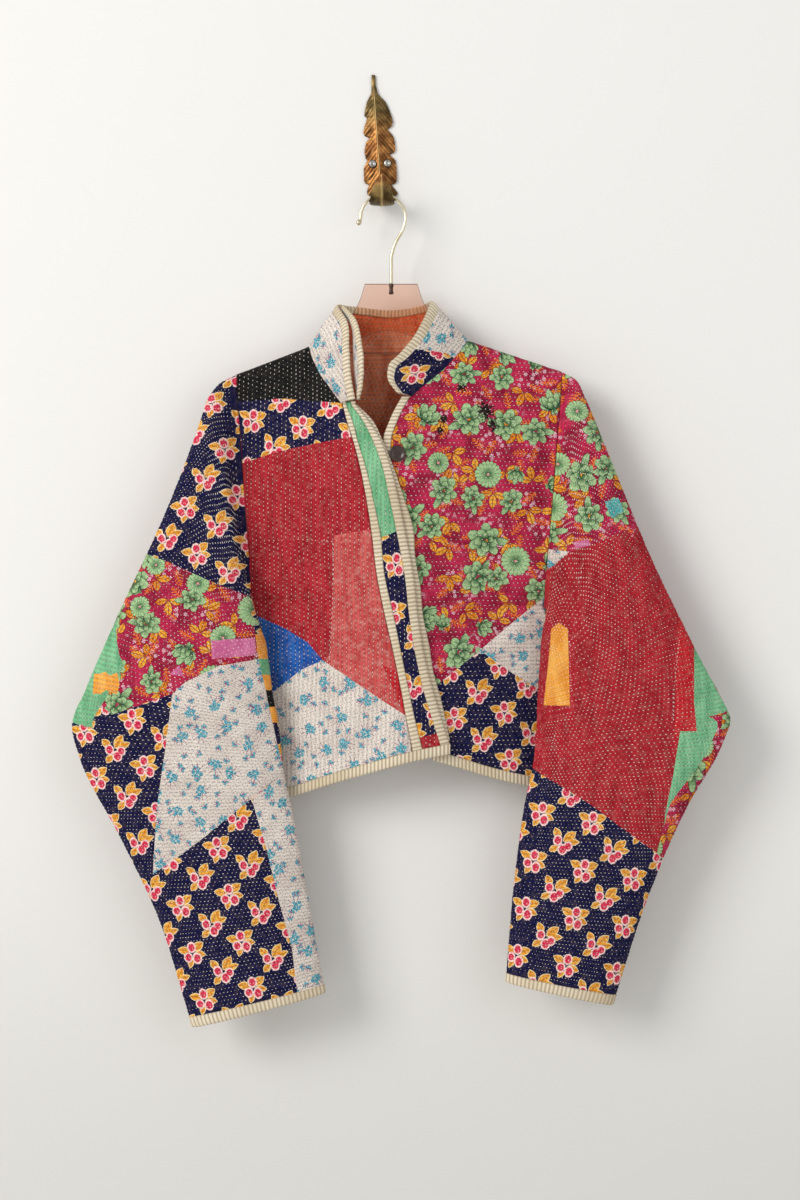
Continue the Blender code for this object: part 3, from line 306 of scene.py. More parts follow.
def garden_print():
    """Crimson-magenta cotton crowded with shaded green blooms, orange leaves, twigs and tiny pale stars."""
    draft, start = new_group("garden print", "Place:V", "Colour:C")
    place = start["Place"]
    wash = draft.noise(place, 0.045)
    colour = draft.mix(draft.step(wash, 0.3, 0.7), dyed(138, 14, 50), dyed(192, 38, 80))

    stars = draft.use(SCATTERED, Place=place, Pitch=8.5, Jitter=0.9)
    star = draft.step(abs((stars["Angle"] * 3.0).cos()), 0.5, 0.9) * draft.step(stars["Far"], 2.6, 1.8)
    star = star * draft.step(draft.noise(place, 0.028, 0.0), 0.5, 0.6)
    colour = draft.mix(star, colour, dyed(246, 214, 228))

    mark = leaf_at(draft, draft.use(SCATTERED, Place=place, Pitch=27.0, Jitter=0.8), TWIG, 0.3)
    comb = (mark["Along"] * 34.0 - mark["Rib"] * 1.3).sin()
    comb = draft.most([draft.step(comb, 0.25, 0.55), draft.step(mark["Rib"], 0.7, 0.4)])
    colour = draft.mix(comb * draft.step(mark["Inside"], -0.1, 0.2), colour, dyed(226, 112, 36))

    fan = draft.use(SCATTERED, Place=draft.vector("ADD", place, (13, 7, 0)), Pitch=35.0, Jitter=0.8)
    edges, veins = [], []
    for row in FAN:
        mark = leaf_at(draft, fan, row)
        edges.append(mark["Inside"])
        side = (mark["Along"] * 24.0 - mark["Rib"]).sin()
        vein = draft.most([draft.step(mark["Rib"], 0.6, 0.25), draft.step(side, 0.6, 0.95) * 0.6])
        veins.append(vein * draft.step(mark["Inside"], 0.3, 0.8))
    leaf = draft.most(edges) - draft.step(fan["One"], 0.2, 0.18) * 9.0
    colour = draft.mix(draft.step(leaf, -0.6, -0.2), colour, dyed(110, 24, 20))
    orange = draft.mix(draft.step(wash, 0.4, 0.6), dyed(224, 134, 32), dyed(242, 176, 60))
    colour = draft.mix(draft.step(leaf, 0.0, 0.4), colour, orange)
    colour = draft.mix(draft.most(veins) * draft.step(leaf, -0.1, 0.2), colour, dyed(150, 62, 20))

    bloom = draft.use(SCATTERED, Place=place, Pitch=45.0, Jitter=0.75)
    kind, far, size = bloom["Two"], bloom["Far"], bloom["One"] * 0.42 + 0.62
    local = (bloom["X"] / size, bloom["Y"] / size)
    lotus = draft.step(kind, 0.59, 0.57) * draft.step(kind, 0.27, 0.29)
    for is_kind, petals, blunt in ((draft.step(kind, 0.57, 0.59), CABBAGE, 0.55), (lotus, LOTUS, 0.4)):
        for row in petals:
            mark = leaf_at(draft, local, row, blunt)
            shade = draft.mix(draft.step(mark["Along"], 0.1, 0.9), dyed(50, 96, 56), dyed(170, 204, 148))
            shade = draft.mix(draft.step(mark["Inside"], 1.6, 0.2) * 0.35, shade, dyed(70, 124, 84))
            shade = draft.mix(draft.step(mark["Rib"], 0.7, 0.2) * 0.3, shade, dyed(66, 120, 76))
            colour = draft.mix(draft.step(mark["Inside"], -0.7, -0.3) * is_kind, colour, dyed(26, 48, 34))
            colour = draft.mix(draft.step(mark["Inside"], 0.0, 0.35) * is_kind, colour, shade)

    daisy = draft.step(kind, 0.29, 0.27)
    outer = abs((bloom["Angle"] * 9.5).cos())
    edge = size * (outer ** 0.5 * 3.6 + 14.5)
    green = draft.mix(draft.step(far / edge, 0.05, 0.7), dyed(84, 134, 84), dyed(164, 202, 146))
    green = draft.mix(draft.step(outer * far, 2.6, 1.0) * 0.85, green, dyed(38, 72, 48))
    green = draft.mix(draft.step(far, 1.9, 1.3), green, dyed(230, 158, 156))
    colour = draft.mix(draft.step(edge - far, -0.7, -0.3) * daisy, colour, dyed(34, 34, 30))
    colour = draft.mix(draft.step(edge - far, -0.1, 0.3) * daisy, colour, green)
    return draft.give(Colour=colour)


# Sprig print: (pitch, jitter, reach of the twigs, dabs as spot_at reads them) of its small and large sprigs
SPRIGS = [
    (16.5, 0.8, 5.0, [(0.0, 1.4, 1.7), (-2.4, -0.8, 1.4), (2.3, -0.4, 1.5)]),
    (31.0, 0.6, 10.5, [
        (0, 0, 2.6), (4.4, 1.2, 2.3), (-4.2, 1.8, 2.4), (1.2, 4.8, 2.4), (-2.6, 5.4, 1.6), (4.8, 5.0, 1.4),
        (-0.4, -3.4, 1.7),
    ]),
]


def sprig_print():
    """Cream cotton with pin dots and small teal sprigs that carry plum twigs."""
    draft, start = new_group("sprig print", "Place:V", "Colour:C")
    place = start["Place"]
    wash = draft.step(draft.noise(place, 0.03), 0.35, 0.65)
    colour = draft.mix(wash, dyed(214, 203, 194), dyed(228, 219, 210))
    dots = draft.use(SCATTERED, Place=place, Pitch=3.7, Jitter=0.45)
    colour = draft.mix(draft.step(dots["Far"], 0.7, 0.35) * 0.85, colour, dyed(104, 60, 74))
    rough_edge = draft.noise(place, 0.7, 1.0) * 2.6 - 1.3
    shade = draft.step(draft.noise(place, 0.8, 0.0), 0.4, 0.6)
    shade = draft.mix(shade, dyed(38, 118, 146), dyed(118, 194, 206))
    for pitch, jitter, reach, spots in SPRIGS:
        sprig = draft.use(SCATTERED, Place=place, Pitch=pitch, Jitter=jitter)
        burst = draft.step(abs((sprig["Angle"] * 4.5).sin()) * sprig["Far"], 1.7, 0.9)
        burst = burst * draft.step(sprig["Far"], reach, reach - 1.0)
        burst = burst * draft.step(sprig["Y"] * -1.0, -2.0, 0.5)
        colour = draft.mix(burst, colour, dyed(138, 54, 112))
        teal = draft.most([spot_at(draft, sprig, *spot) for spot in spots]) + rough_edge
        colour = draft.mix(draft.step(teal, -0.2, 0.3), colour, shade)
    return draft.give(Colour=colour)


def cotton_wear_and_row_shade():
    """Weave, fading and the pull of the stitch rows: valleys at whole row numbers, dimples at each stitch;
    the colour is darkened in the valleys between puffed rows as painted shade.
    """
    draft, start = new_group("cotton wear and row shade", "Colour:C Fade", "Colour:C Roughness Height")
    cloth, rows = draft.map("print"), draft.parts(draft.map("rows"))
    fade = draft.step(draft.noise(cloth, 150.0, 5.0), 0.42, 0.72) * start["Fade"]
    colour = draft.mix(fade, start["Colour"], dyed(214, 186, 172))
    puff = abs((rows[1] * math.pi).sin())
    threads, slubs = draft.noise(cloth, 1400.0, 1.0), draft.noise(cloth, 260.0)
    # Brightness: painted shade, lighter on each puffed row and darker in the stitched valleys, plus the tone
    # of the weave's threads and slubs
    row_shade_and_weave_tone = (puff * 0.3 + 0.66) + (threads * 0.3 - 0.09) + (slubs * 0.36 - 0.18)
    dimple = (rows[0] * (2 * math.pi)).cos() * (1.0 - puff)
    across = draft.parts(cloth)
    weave = (across[0] * 5200.0).sin() + (across[1] * 5200.0).sin()
    height = puff * 0.35 + dimple * 0.22 + weave * 0.03 + slubs * 0.5
    return draft.give(Colour=draft.scaled(colour, row_shade_and_weave_tone), Roughness=threads * 0.12 + 0.8, Height=height)


PRINTS = {"berry": berry_print(), "garden": garden_print(), "sprig": sprig_print()}
COTTON_WEAR_AND_ROW_SHADE = cotton_wear_and_row_shade()

# Plain dyed cottons as (first dye, second dye, how much they fade)
PLAIN = {
    "red": ((152, 22, 36), (180, 36, 48), 0.1),
    "faded_red": ((182, 58, 60), (204, 86, 84), 0.28),
    "bright_red": ((180, 24, 36), (200, 38, 46), 0.12),
    "black": ((9, 10, 10), (20, 20, 21), 0.03),
    "blue": ((20, 70, 150), (36, 100, 182), 0.1),
    "green": ((96, 166, 120), (134, 200, 152), 0.12),
    "orange": ((232, 146, 44), (250, 182, 84), 0.1),
    "pink": ((200, 96, 146), (226, 130, 176), 0.1),
    "aqua": ((72, 160, 160), (116, 200, 196), 0.1),
    "rust": ((204, 104, 68), (234, 144, 102), 0.3),
}
PRINT_FADE = 0.05

# Worn-through places on the garden print of the right front: (x, z, half width, half height)
HOLES = [(91, -285, 6.5, 6), (119, -311, 12, 13), (71, -322, 7, 6), (67, -335, 5.5, 6), (127, -328, 6, 9)]


def worn_holes_painted_shade(draft, colour):
    """Paints ragged holes worn through at fixed places on the front, crossed by a few threads; their
    near-black is painted shade of the hollow behind the cloth.
    """
    place = draft.place()
    parts, marks = draft.parts(place), []
    for x, z, wide, tall in HOLES:
        right, up = parts[0] * (1000 / wide) - x / wide, parts[2] * (1000 / tall) - z / tall
        marks.append(1.0 - (right ** 2.0 + up ** 2.0).sqrt())
    hole = draft.step(draft.most(marks) + (draft.noise(place, 420.0, 3.0) * 2.6 - 1.45), 0.0, 0.25)
    # Near-black in each hole: painted shade of the hollow behind the worn cloth
    return draft.mix(hole * draft.step(parts[1], -0.045, -0.05), colour, dyed(26, 18, 18))


def cotton(name):
    """Material of one cotton, printed or plain, made once."""
    if "cotton_" + name in bpy.data.materials:
        return bpy.data.materials["cotton_" + name]
    made, draft = new_finish("cotton_" + name)
    cloth = draft.map("print")
    if name in PRINTS:
        colour, fade = draft.use(PRINTS[name], Place=draft.scaled(cloth, 1000.0))["Colour"], PRINT_FADE
        if name == "garden":
            colour = worn_holes_painted_shade(draft, colour)
    else:
        first, second, fade = PLAIN[name]
        streaks = draft.noise(draft.vector("MULTIPLY", cloth, (1.0, 0.25, 1.0)), 90.0, 4.0)
        colour = draft.mix(draft.step(streaks, 0.3, 0.7), dyed(*first), dyed(*second))
    # Fading and weave of the cloth, with painted shade in the valleys between stitch rows
    worn = draft.use(COTTON_WEAR_AND_ROW_SHADE, Colour=colour, Fade=fade)
    draft.paint(Base_Color=worn["Colour"], Roughness=worn["Roughness"], Specular_IOR_Level=0.16,
                Sheen_Weight=0.03, Sheen_Roughness=0.5, Normal=draft.bump(worn["Height"], 0.8))
    return made


# Left front
# Quilted patchwork panel: scraps run-stitched through a rust cotton lining, in rows that run down it.
# Sewn at the shoulder, side, armhole and neck; its centre edge carries the placket over the right front.

WALL = 2.4
PITCH = 5.0
HANG_Y = -40.0
CENTRE_X = 12.0
BODY_LENGTH = 520.0
BINDING_WIDTH = 11.5
PLACKET_LIFT = 9.8
MILLIMETRE = 0.001
# From the middle of the cloth's wall to its two flat faces
FACE = WALL / 2 - 0.1
TIP = {"left": (-168, -269), "right": (208, -266)}
UNDERARM = {"left": (-151, -527), "right": (187, -535)}
SIDE_HEM = {"left": (-192, -768), "right": (244, -754)}
NECK_POINT = {"left": (-84, -237), "right": (99, -230)}
NECK_FRONT = {
    "left": [(-84, -237), (-79, -253), (-71, -269), (-60, -285), (-46, -304)],
    "right": [(99, -230), (91, -241), (78, -256), (63, -271), (46, -285), (34, -296)],
}
HEM_FRONT = {
    "left": [(-192, -768), (-152, -765), (-106, -756), (-60, -741), (-14, -727), (32, -714), (78, -705)],
    "right": [(57, -712), (90, -722), (124, -733), (169, -744), (208, -751), (244, -754)],
}
# Down the placket: (z, panel edge, seam binding's right edge, band's right edge, placket's edge)
PLACKET = [
    (-306, -45, -40, -37, -30), (-322, -41, -33, -25, -17), (-347, -33, -27, -12, -1),
    (-374, -26, -19, -1, 9), (-414, -18, -10, 9, 19), (-453, -12, -2, 17, 27), (-501, -6, 3, 26, 36),
    (-546, 3, 13, 31, 41), (-590, 13, 22, 38, 48), (-634, 22, 31, 48, 59), (-667, 28, 38, 58, 69),
    (-692, 33, 44, 66, 77),
]
# Folds and creases: (from x, from z, to x, to z, half width, height); positive stands out
FRONT_FOLDS = [
    (88, -262, 124, -345, 13, 3.0), (196, -300, 176, -415, 14, -3.0), (150, -470, 170, -640, 22, 2.5),
    (-146, -310, -138, -430, 12, -2.5), (-112, -300, -92, -420, 18, 2.0), (-118, -560, -62, -700, 24, 3.0),
    (92, -560, 120, -715, 20, 2.5),
    (70, -262, 96, -330, 7, -2.0), (108, -256, 142, -330, 7, -1.6), (40, -330, 70, -420, 12, 1.8),
    (-150, -600, -96, -640, 12, 2.0), (-40, -480, -6, -640, 14, 1.6), (-90, -440, -70, -560, 16, -1.4),
    (120, -600, 168, -560, 12, 1.8), (60, -480, 84, -600, 13, -1.6), (-160, -480, -120, -520, 9, 1.8),
    (-156, -300, -144, -520, 9, -3.4), (196, -300, 180, -520, 9, -3.4), (-64, -330, -84, -460, 9, 1.4),
    (160, -500, 190, -470, 8, 1.6), (-20, -600, 10, -700, 12, -1.8),
]


def spline(rows, t):
    """Cubic Hermite curve through the rows, slopes from neighbours, at shares t of its chord."""
    rows = np.asarray(rows, float)
    steps = np.linalg.norm(np.diff(rows[:, :2], axis=0), axis=1)
    return hermite(np.r_[0.0, np.cumsum(steps)] / steps.sum(), rows, np.asarray(t, float))


def hermite(knots, rows, t):
    """Cubic Hermite through rows at the given knots, evaluated at t."""
    rows = np.asarray(rows, float)
    slope = np.gradient(rows, knots, axis=0)
    i = np.clip(np.searchsorted(knots, t, side="right") - 1, 0, len(rows) - 2)
    width = (knots[i + 1] - knots[i])[:, None]
    s = (t - knots[i])[:, None] / width
    return (
        (2 * s**3 - 3 * s**2 + 1) * rows[i]
        + (s**3 - 2 * s**2 + s) * width * slope[i]
        + (3 * s**2 - 2 * s**3) * rows[i + 1]
        + (s**3 - s**2) * width * slope[i + 1]
    )


def by_height(rows, z):
    """Reads a table whose first column is z, smoothly, held at its two ends."""
    rows = np.asarray(rows, float)
    z = np.clip(np.asarray(z, float), rows[-1, 0], rows[0, 0])
    return hermite(-rows[:, 0], rows[:, 1:], -z.ravel()).reshape(*z.shape, -1)


def by_x(rows, x):
    """Height of a hem table at each x."""
    rows = np.asarray(rows, float)
    return hermite(rows[:, 0], rows[:, 1:], np.asarray(x, float))[:, 0]


def smoothstep(t):
    t = np.clip(t, 0.0, 1.0)
    return t * t * (3 - 2 * t)


def unit(vectors):
    return vectors / np.maximum(np.linalg.norm(vectors, axis=-1, keepdims=True), 1e-9)


def side_x(side, z):
    """The armhole line, then the side seam, at height z."""
    line = (SIDE_HEM[side], UNDERARM[side], TIP[side])
    return np.interp(z, [point[1] for point in line], [point[0] for point in line])


def roof(x):
    """The two shoulder lines, carried on to where they cross over the neck."""
    lines = []
    for side in ("left", "right"):
        (x0, z0), (x1, z1) = TIP[side], NECK_POINT[side]
        lines.append(z0 + (z1 - z0) * (x - x0) / (x1 - x0))
    return np.minimum(*lines)


def body_depth(x, z, arm, bulge):
    """Distance from the hanger's plane: thin at side seams, half-elliptic at armholes, full at the chest."""
    below = np.maximum(roof(x) - z, 0)
    rounded = arm * np.sqrt(np.clip(1 - (1 - np.minimum(below / 130, 1)) ** 2, 0, 1))
    middle = rounded + bulge * (1 - np.exp(-below / 90)) - 6 * (below / BODY_LENGTH) ** 2
    depth = np.zeros_like(x)
    for side, where in (("left", x < CENTRE_X), ("right", x >= CENTRE_X)):
        edge, under_z = side_x(side, z), UNDERARM[side][1]
        share = below / np.maximum(below + z - under_z, 1)
        rise = np.sqrt(np.clip(1 - (1 - 2 * share) ** 2, 0, 1)) * (z > under_z)
        at_side = WALL / 2 * smoothstep((under_z + 25 - z) / 25) + arm * rise
        inward = np.sin(np.clip((x - edge) / (CENTRE_X - edge), 0, 1) * math.pi / 2) ** 2
        depth = np.where(where, at_side + (middle - at_side) * inward, depth)
    return 0.15 + np.maximum(depth, 0)


def fold_height(x, z, folds):
    """Sum of the folds: each a soft ridge round a line, dying out towards its two ends."""
    height = np.zeros_like(x)
    for from_x, from_z, to_x, to_z, width, rise in folds:
        run = np.array([to_x - from_x, to_z - from_z], float)
        length = np.hypot(*run)
        run /= length
        along = ((x - from_x) * run[0] + (z - from_z) * run[1]) / length
        off = (x - from_x) * run[1] - (z - from_z) * run[0]
        ends = smoothstep(along / 0.3) * smoothstep((1 - along) / 0.3)
        height += rise * ends * np.exp(-((off / width) ** 2))
    return height


def body_front(xz, lift=0.0):
    """Middle of the front's wall at each (x, z), moved lift towards the viewer."""
    x, z = xz[..., 0], xz[..., 1]
    depth = body_depth(x, z, 16, 28) + fold_height(x, z, FRONT_FOLDS)
    return np.stack([x, HANG_Y - depth - lift, z], axis=-1)


def lifted_front(xz):
    """The left front, which rises over the layers under its placket."""
    edge = by_height(PLACKET, xz[..., 1])[..., 0]
    return body_front(xz, PLACKET_LIFT * smoothstep((xz[..., 0] - edge + 70) / 70))


def filled(line, step=3.0):
    """A line with points added so that none are more than step apart."""
    line = np.asarray(line, float)
    parts = []
    for start, end in zip(line[:-1], line[1:]):
        count = max(1, math.ceil(np.hypot(*(end - start)) / step))
        parts.append(start + (end - start) * np.arange(count)[:, None] / count)
    return np.concatenate([*parts, line[-1:]])


def inside(points, loop):
    """Even-odd test of points against a closed loop, a few thousand points at a time."""
    a, b = loop, np.roll(loop, -1, axis=0)
    run = np.where(b[:, 1] == a[:, 1], 1e-9, b[:, 1] - a[:, 1])
    lean = (b[:, 0] - a[:, 0]) / run
    within = []
    for block in np.array_split(points, len(points) // 4000 + 1):
        x, y = block[:, :1], block[:, 1:]
        crosses = (a[:, 1] > y) != (b[:, 1] > y)
        within.append((crosses & (x < a[:, 0] + (y - a[:, 1]) * lean)).sum(axis=1) % 2 == 1)
    return np.concatenate(within)


def nearest_seam(points, marks, reach=5.0):
    """Distance in millimetres to the nearest mark, up to reach, by a millimetre raster grown ring by ring."""
    low = np.minimum(points.min(axis=0), marks.min(axis=0)) - reach - 2
    size = (np.maximum(points.max(axis=0), marks.max(axis=0)) - low + reach + 3).astype(int)
    cell = np.full(size, reach * 2)
    at = (marks - low).astype(int)
    cell[at[:, 0], at[:, 1]] = 0
    for _ in range(int(reach * 2)):
        for axis in (0, 1):
            for way in (1, -1):
                cell = np.minimum(cell, np.roll(cell, way, axis=axis) + 0.97)
    at = (points - low).astype(int)
    return np.minimum(cell[at[:, 0], at[:, 1]], reach)


def sway(along, off):
    """Small wander of a hand-sewn row, in millimetres."""
    return 0.8 * np.sin(along / 41 + off / 97) + 0.4 * np.sin(along / 17 + off / 26)


def triangulate(loop, seams, lattice):
    """Triangles of a flat cloth shape whose edges follow its outline and its seams."""
    points, edges = [], []
    count = 0
    for line, closed in [(loop, True)] + [(seam, False) for seam in seams]:
        points.append(line)
        ids = np.arange(count, count + len(line))
        edges += list(zip(ids[:-1].tolist(), ids[1:].tolist()))
        if closed:
            edges.append((int(ids[-1]), int(ids[0])))
        count += len(line)
    points.append(lattice)
    flat = np.concatenate(points)
    made = delaunay_2d_cdt([Vector(point) for point in flat.tolist()], edges, [], 0, 1e-5, False)
    flat = np.array([tuple(point) for point in made[0]])
    faces = np.array(made[2])
    middle = flat[faces].mean(axis=1)
    a, b, c = flat[faces[:, 0]], flat[faces[:, 1]], flat[faces[:, 2]]
    area = (b[:, 0] - a[:, 0]) * (c[:, 1] - a[:, 1]) - (c[:, 0] - a[:, 0]) * (b[:, 1] - a[:, 1])
    faces = np.where((area < 0)[:, None], faces[:, ::-1], faces)
    return flat, faces[inside(middle, loop) & (np.abs(area) > 1e-6)]


def joined(flat, points, half_width):
    """A tube's two long edges, at plus and minus half_width, moved to the middle between their points."""
    left, right = (np.flatnonzero(np.abs(flat[:, 0] - way * half_width) < 1e-3) for way in (-1, 1))
    left, right = left[np.argsort(flat[left, 1])], right[np.argsort(flat[right, 1])]
    points = points.copy()
    points[left] = points[right] = (points[left] + points[right]) / 2
    return points


def rim_of(faces):
    """Directed boundary edges of a triangulation."""
    edges = np.concatenate([faces[:, [0, 1]], faces[:, [1, 2]], faces[:, [2, 0]]])
    base = edges.max() + 1
    key, back = edges[:, 0] * base + edges[:, 1], edges[:, 1] * base + edges[:, 0]
    return edges[~np.isin(key, back)]


def lie_normals(lie, flat):
    """Unit normals of a surface given as a function of the flat cloth, by small steps."""
    right = lie(flat + (0.25, 0)) - lie(flat - (0.25, 0))
    up = lie(flat + (0, 0.25)) - lie(flat - (0, 0.25))
    return unit(np.cross(right, up))


def turn_outwards(mesh):
    """Turns a closed mesh's faces outwards, where its volume, summed as tetrahedra, is negative."""
    mesh.calc_loop_triangles()
    places = np.empty(len(mesh.vertices) * 3, np.float32)
    corners = np.empty(len(mesh.loop_triangles) * 3, np.int32)
    mesh.vertices.foreach_get("co", places)
    mesh.loop_triangles.foreach_get("vertices", corners)
    a, b, c = places.reshape(-1, 3)[corners.reshape(-1, 3)].astype(float).transpose(1, 0, 2)
    if np.sum(a * np.cross(b, c)) < 0:
        mesh.flip_normals()


def put_mesh(name, points, faces, finishes, material_of=None, uvs=(), smooth=True):
    """Mesh object from millimetre points; uvs are (name, corner coordinates)."""
    mesh = bpy.data.meshes.new(name)
    mesh.from_pydata((points * MILLIMETRE).tolist(), [], faces if isinstance(faces, list) else faces.tolist())
    for finish in finishes:
        mesh.materials.append(finish)
    if material_of is not None:
        mesh.polygons.foreach_set("material_index", np.asarray(material_of, np.int32))
    for label, values in uvs:
        mesh.uv_layers.new(name=label).data.foreach_set("uv", np.asarray(values, np.float32).ravel())
    turn_outwards(mesh)
    if smooth:
        mesh.shade_smooth()
    item = bpy.data.objects.new(name, mesh)
    bpy.context.scene.collection.objects.link(item)
    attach(item, "root")
    return item


def quilt(name, outline, patches, lie, run, base, print_place=None, closed_at=None, facing=1,
          lining="rust", lining_step=12.0, along_step=4.0, thread_gap=5.2, turns=None):
    """A quilted panel and its threads.

    The outline and patches lie on the flat cloth; lie(flat) hangs them up. Rows run "down" or "across". The
    outer side is puffed between rows and dented at seams; the lining side is coarse. Triangle edges follow
    every patch. closed_at is the half width at which a sleeve's two long edges are joined.
    """
    turns = turns or {}
    loop = filled(np.vstack([outline, outline[:1]]))[:-1]
    seams = [filled(np.array([*shape, shape[0]], float)) for _, shape in patches]
    low, high = loop.min(axis=0), loop.max(axis=0)
    down = run == "down"
    off_axis = 0 if down else 1
    offs = np.arange(math.floor(low[off_axis] / PITCH) * 4, math.ceil(high[off_axis] / PITCH) * 4 + 1)
    alongs = np.arange(low[1 - off_axis], high[1 - off_axis], along_step)
    off, along = np.meshgrid(offs, alongs, indexing="ij")
    along = along + (off % 2) * along_step / 2
    off = off * PITCH / 4 - sway(along, off * PITCH / 4)
    lattice = np.stack([off, along] if down else [along, off], axis=-1).reshape(-1, 2)
    lattice = lattice[inside(lattice, loop)]
    marks = np.concatenate([filled(np.vstack([loop, loop[:1]]), 0.8)] + [filled(seam, 0.8) for seam in seams])
    lattice = lattice[nearest_seam(lattice, marks, 3.0) > 0.9]
    flat, faces = triangulate(loop, seams, lattice)

    rows = flat[:, off_axis] + sway(flat[:, 1 - off_axis], flat[:, off_axis])
    puff = np.abs(np.sin(np.pi * rows / PITCH)) ** 0.7
    wander = 0.22 * np.sin(flat[:, 0] / 7.1 + flat[:, 1] / 9.3) * np.sin(flat[:, 0] / 12.7 - flat[:, 1] / 6.1)
    rise = 0.42 * puff + wander
    if seams:
        inner_marks = np.concatenate([filled(seam, 0.8) for seam in seams])
        rise = rise - 0.45 * np.exp(-((nearest_seam(flat, inner_marks) / 1.6) ** 2))
    place, normal = lie(flat), lie_normals(lie, flat) * facing
    outer = place + normal * (FACE + rise)[:, None]
    if closed_at is not None:
        outer = joined(flat, outer, closed_at)

    rim = rim_of(faces)
    chain = rim_chain(rim)
    ticks = [np.arange(low[i], high[i], lining_step) for i in range(2)]
    grid = np.stack(np.meshgrid(*ticks, indexing="ij"), -1).reshape(-1, 2)
    grid = grid[inside(grid, flat[chain]) & (nearest_seam(grid, flat[chain], 5.0) > 3.0)]
    back_flat, back_faces = triangulate(flat[chain], [], grid)
    back = lie(back_flat) - lie_normals(lie, back_flat) * facing * FACE
    if closed_at is not None:
        back = joined(back_flat, back, closed_at)
    find = {tuple(key): index for index, key in enumerate(np.round(back_flat, 3).tolist())}
    twin = {i: find[tuple(np.round(flat[i], 3).tolist())] + len(flat) for i in chain.tolist()}
    rim_faces = []
    for a, b in rim.tolist():
        if closed_at is None or np.abs(np.abs(flat[[a, b], 0]) - closed_at).max() >= 1e-3:
            rim_faces += [(b, a, twin[a]), (b, twin[a], twin[b])]

    middle = flat[faces].mean(axis=1)
    cloth_of = np.zeros(len(faces), int)
    cloths = [base]
    for cloth, shape in patches:
        if cloth not in cloths:
            cloths.append(cloth)
        cloth_of[inside(middle, np.array(shape, float))] = cloths.index(cloth)
    material_of = np.repeat([0, len(cloths), 0], [len(faces), len(back_faces), len(rim_faces)])
    material_of[:len(faces)] = cloth_of
    all_flat = np.concatenate([flat, back_flat])
    shown = print_place(all_flat) if print_place else all_flat
    every = np.concatenate([faces, back_faces[:, ::-1] + len(flat), np.array(rim_faces)])
    if facing < 0:
        every = every[:, ::-1]
    corner_flat = all_flat[every].reshape(-1, 2)
    turned = shown[every].reshape(-1, 2).copy()
    corner_cloth = np.repeat(material_of, 3)
    for index, cloth in enumerate(cloths):
        angle = math.radians(turns.get(cloth, 0))
        mask = corner_cloth == index
        spin = np.array([[math.cos(angle), -math.sin(angle)], [math.sin(angle), math.cos(angle)]])
        turned[mask] = turned[mask] @ spin.T + (37 * index, 19 * index)
    along, off = corner_flat[:, 1 - off_axis], corner_flat[:, off_axis]
    row_uv = np.stack([along / thread_gap, (off + sway(along, off)) / PITCH], -1)
    points = np.concatenate([outer, back])
    if closed_at is not None:
        cells = np.round(points * 1000 + 0.3).astype(np.int64)
        _, first, same = np.unique(cells, axis=0, return_index=True, return_inverse=True)
        points, every = points[first], same.reshape(-1)[every]
    panel = put_mesh(name, points, every, [cotton(cloth) for cloth in (*cloths, lining)], material_of,
                     [("print", turned * MILLIMETRE), ("rows", row_uv)])
    return panel, sew(name, loop, seams, lie, off_axis, facing, thread_gap)


def hung(outline, nodes, area=None):
    """Hides the parts a cloth piece stands for, and works out from its outline the size it was cut to, which
    is not kept.
    """
    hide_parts(*nodes)
    width, length = (outline.max(axis=0) - outline.min(axis=0)) * MILLIMETRE
    x, y = outline.T * MILLIMETRE
    cut = area or abs(np.sum(x * np.roll(y, -1) - np.roll(x, -1) * y)) / 2
    if cut < 0.4 * width * length:
        length = np.hypot(x - np.roll(x, -1), y - np.roll(y, -1)).sum() / 2
        width = cut / length


def rim_chain(rim):
    """Boundary edges put in order round the outline."""
    after = dict(rim.tolist())
    start = int(rim[0, 0])
    chain, at = [start], after[start]
    while at != start:
        chain.append(at)
        at = after[at]
    return np.array(chain)


# Undyed cotton sewing thread, slightly yellowed
THREAD, draft = new_finish("thread")
tone = draft.step(draft.noise(draft.place(), 60.0), 0.4, 0.6)
tone = draft.mix(tone, dyed(236, 224, 208), dyed(252, 248, 240))
draft.paint(Base_Color=tone, Roughness=0.7, Sheen_Weight=0.2)


def spindles(name, start, end, lie, facing):
    """Stitches from start to end on the flat cloth: slim eight-sided spindles whose ends dip into it."""
    middle = (start + end) / 2
    normal = lie_normals(lie, middle) * facing
    a, b, m = lie(start), lie(end), lie(middle)
    a, b, m = a + normal * (FACE - 0.13), b + normal * (FACE - 0.13), m + normal * (FACE + 0.22)
    across = unit(np.cross(normal, b - a)) * 0.45
    points = np.stack([a, b, m + across, m - across, m + normal * 0.34, m - normal * 0.3], axis=1)
    faces = np.array([(0, 2, 4), (2, 1, 4), (1, 3, 4), (3, 0, 4), (2, 0, 5), (1, 2, 5), (3, 1, 5), (0, 3, 5)])
    faces = faces[:, ::-1] if facing < 0 else faces
    every = (np.arange(len(points))[:, None, None] * 6 + faces[None]).reshape(-1, 3)
    return put_mesh(name, points.reshape(-1, 3), every, [THREAD])


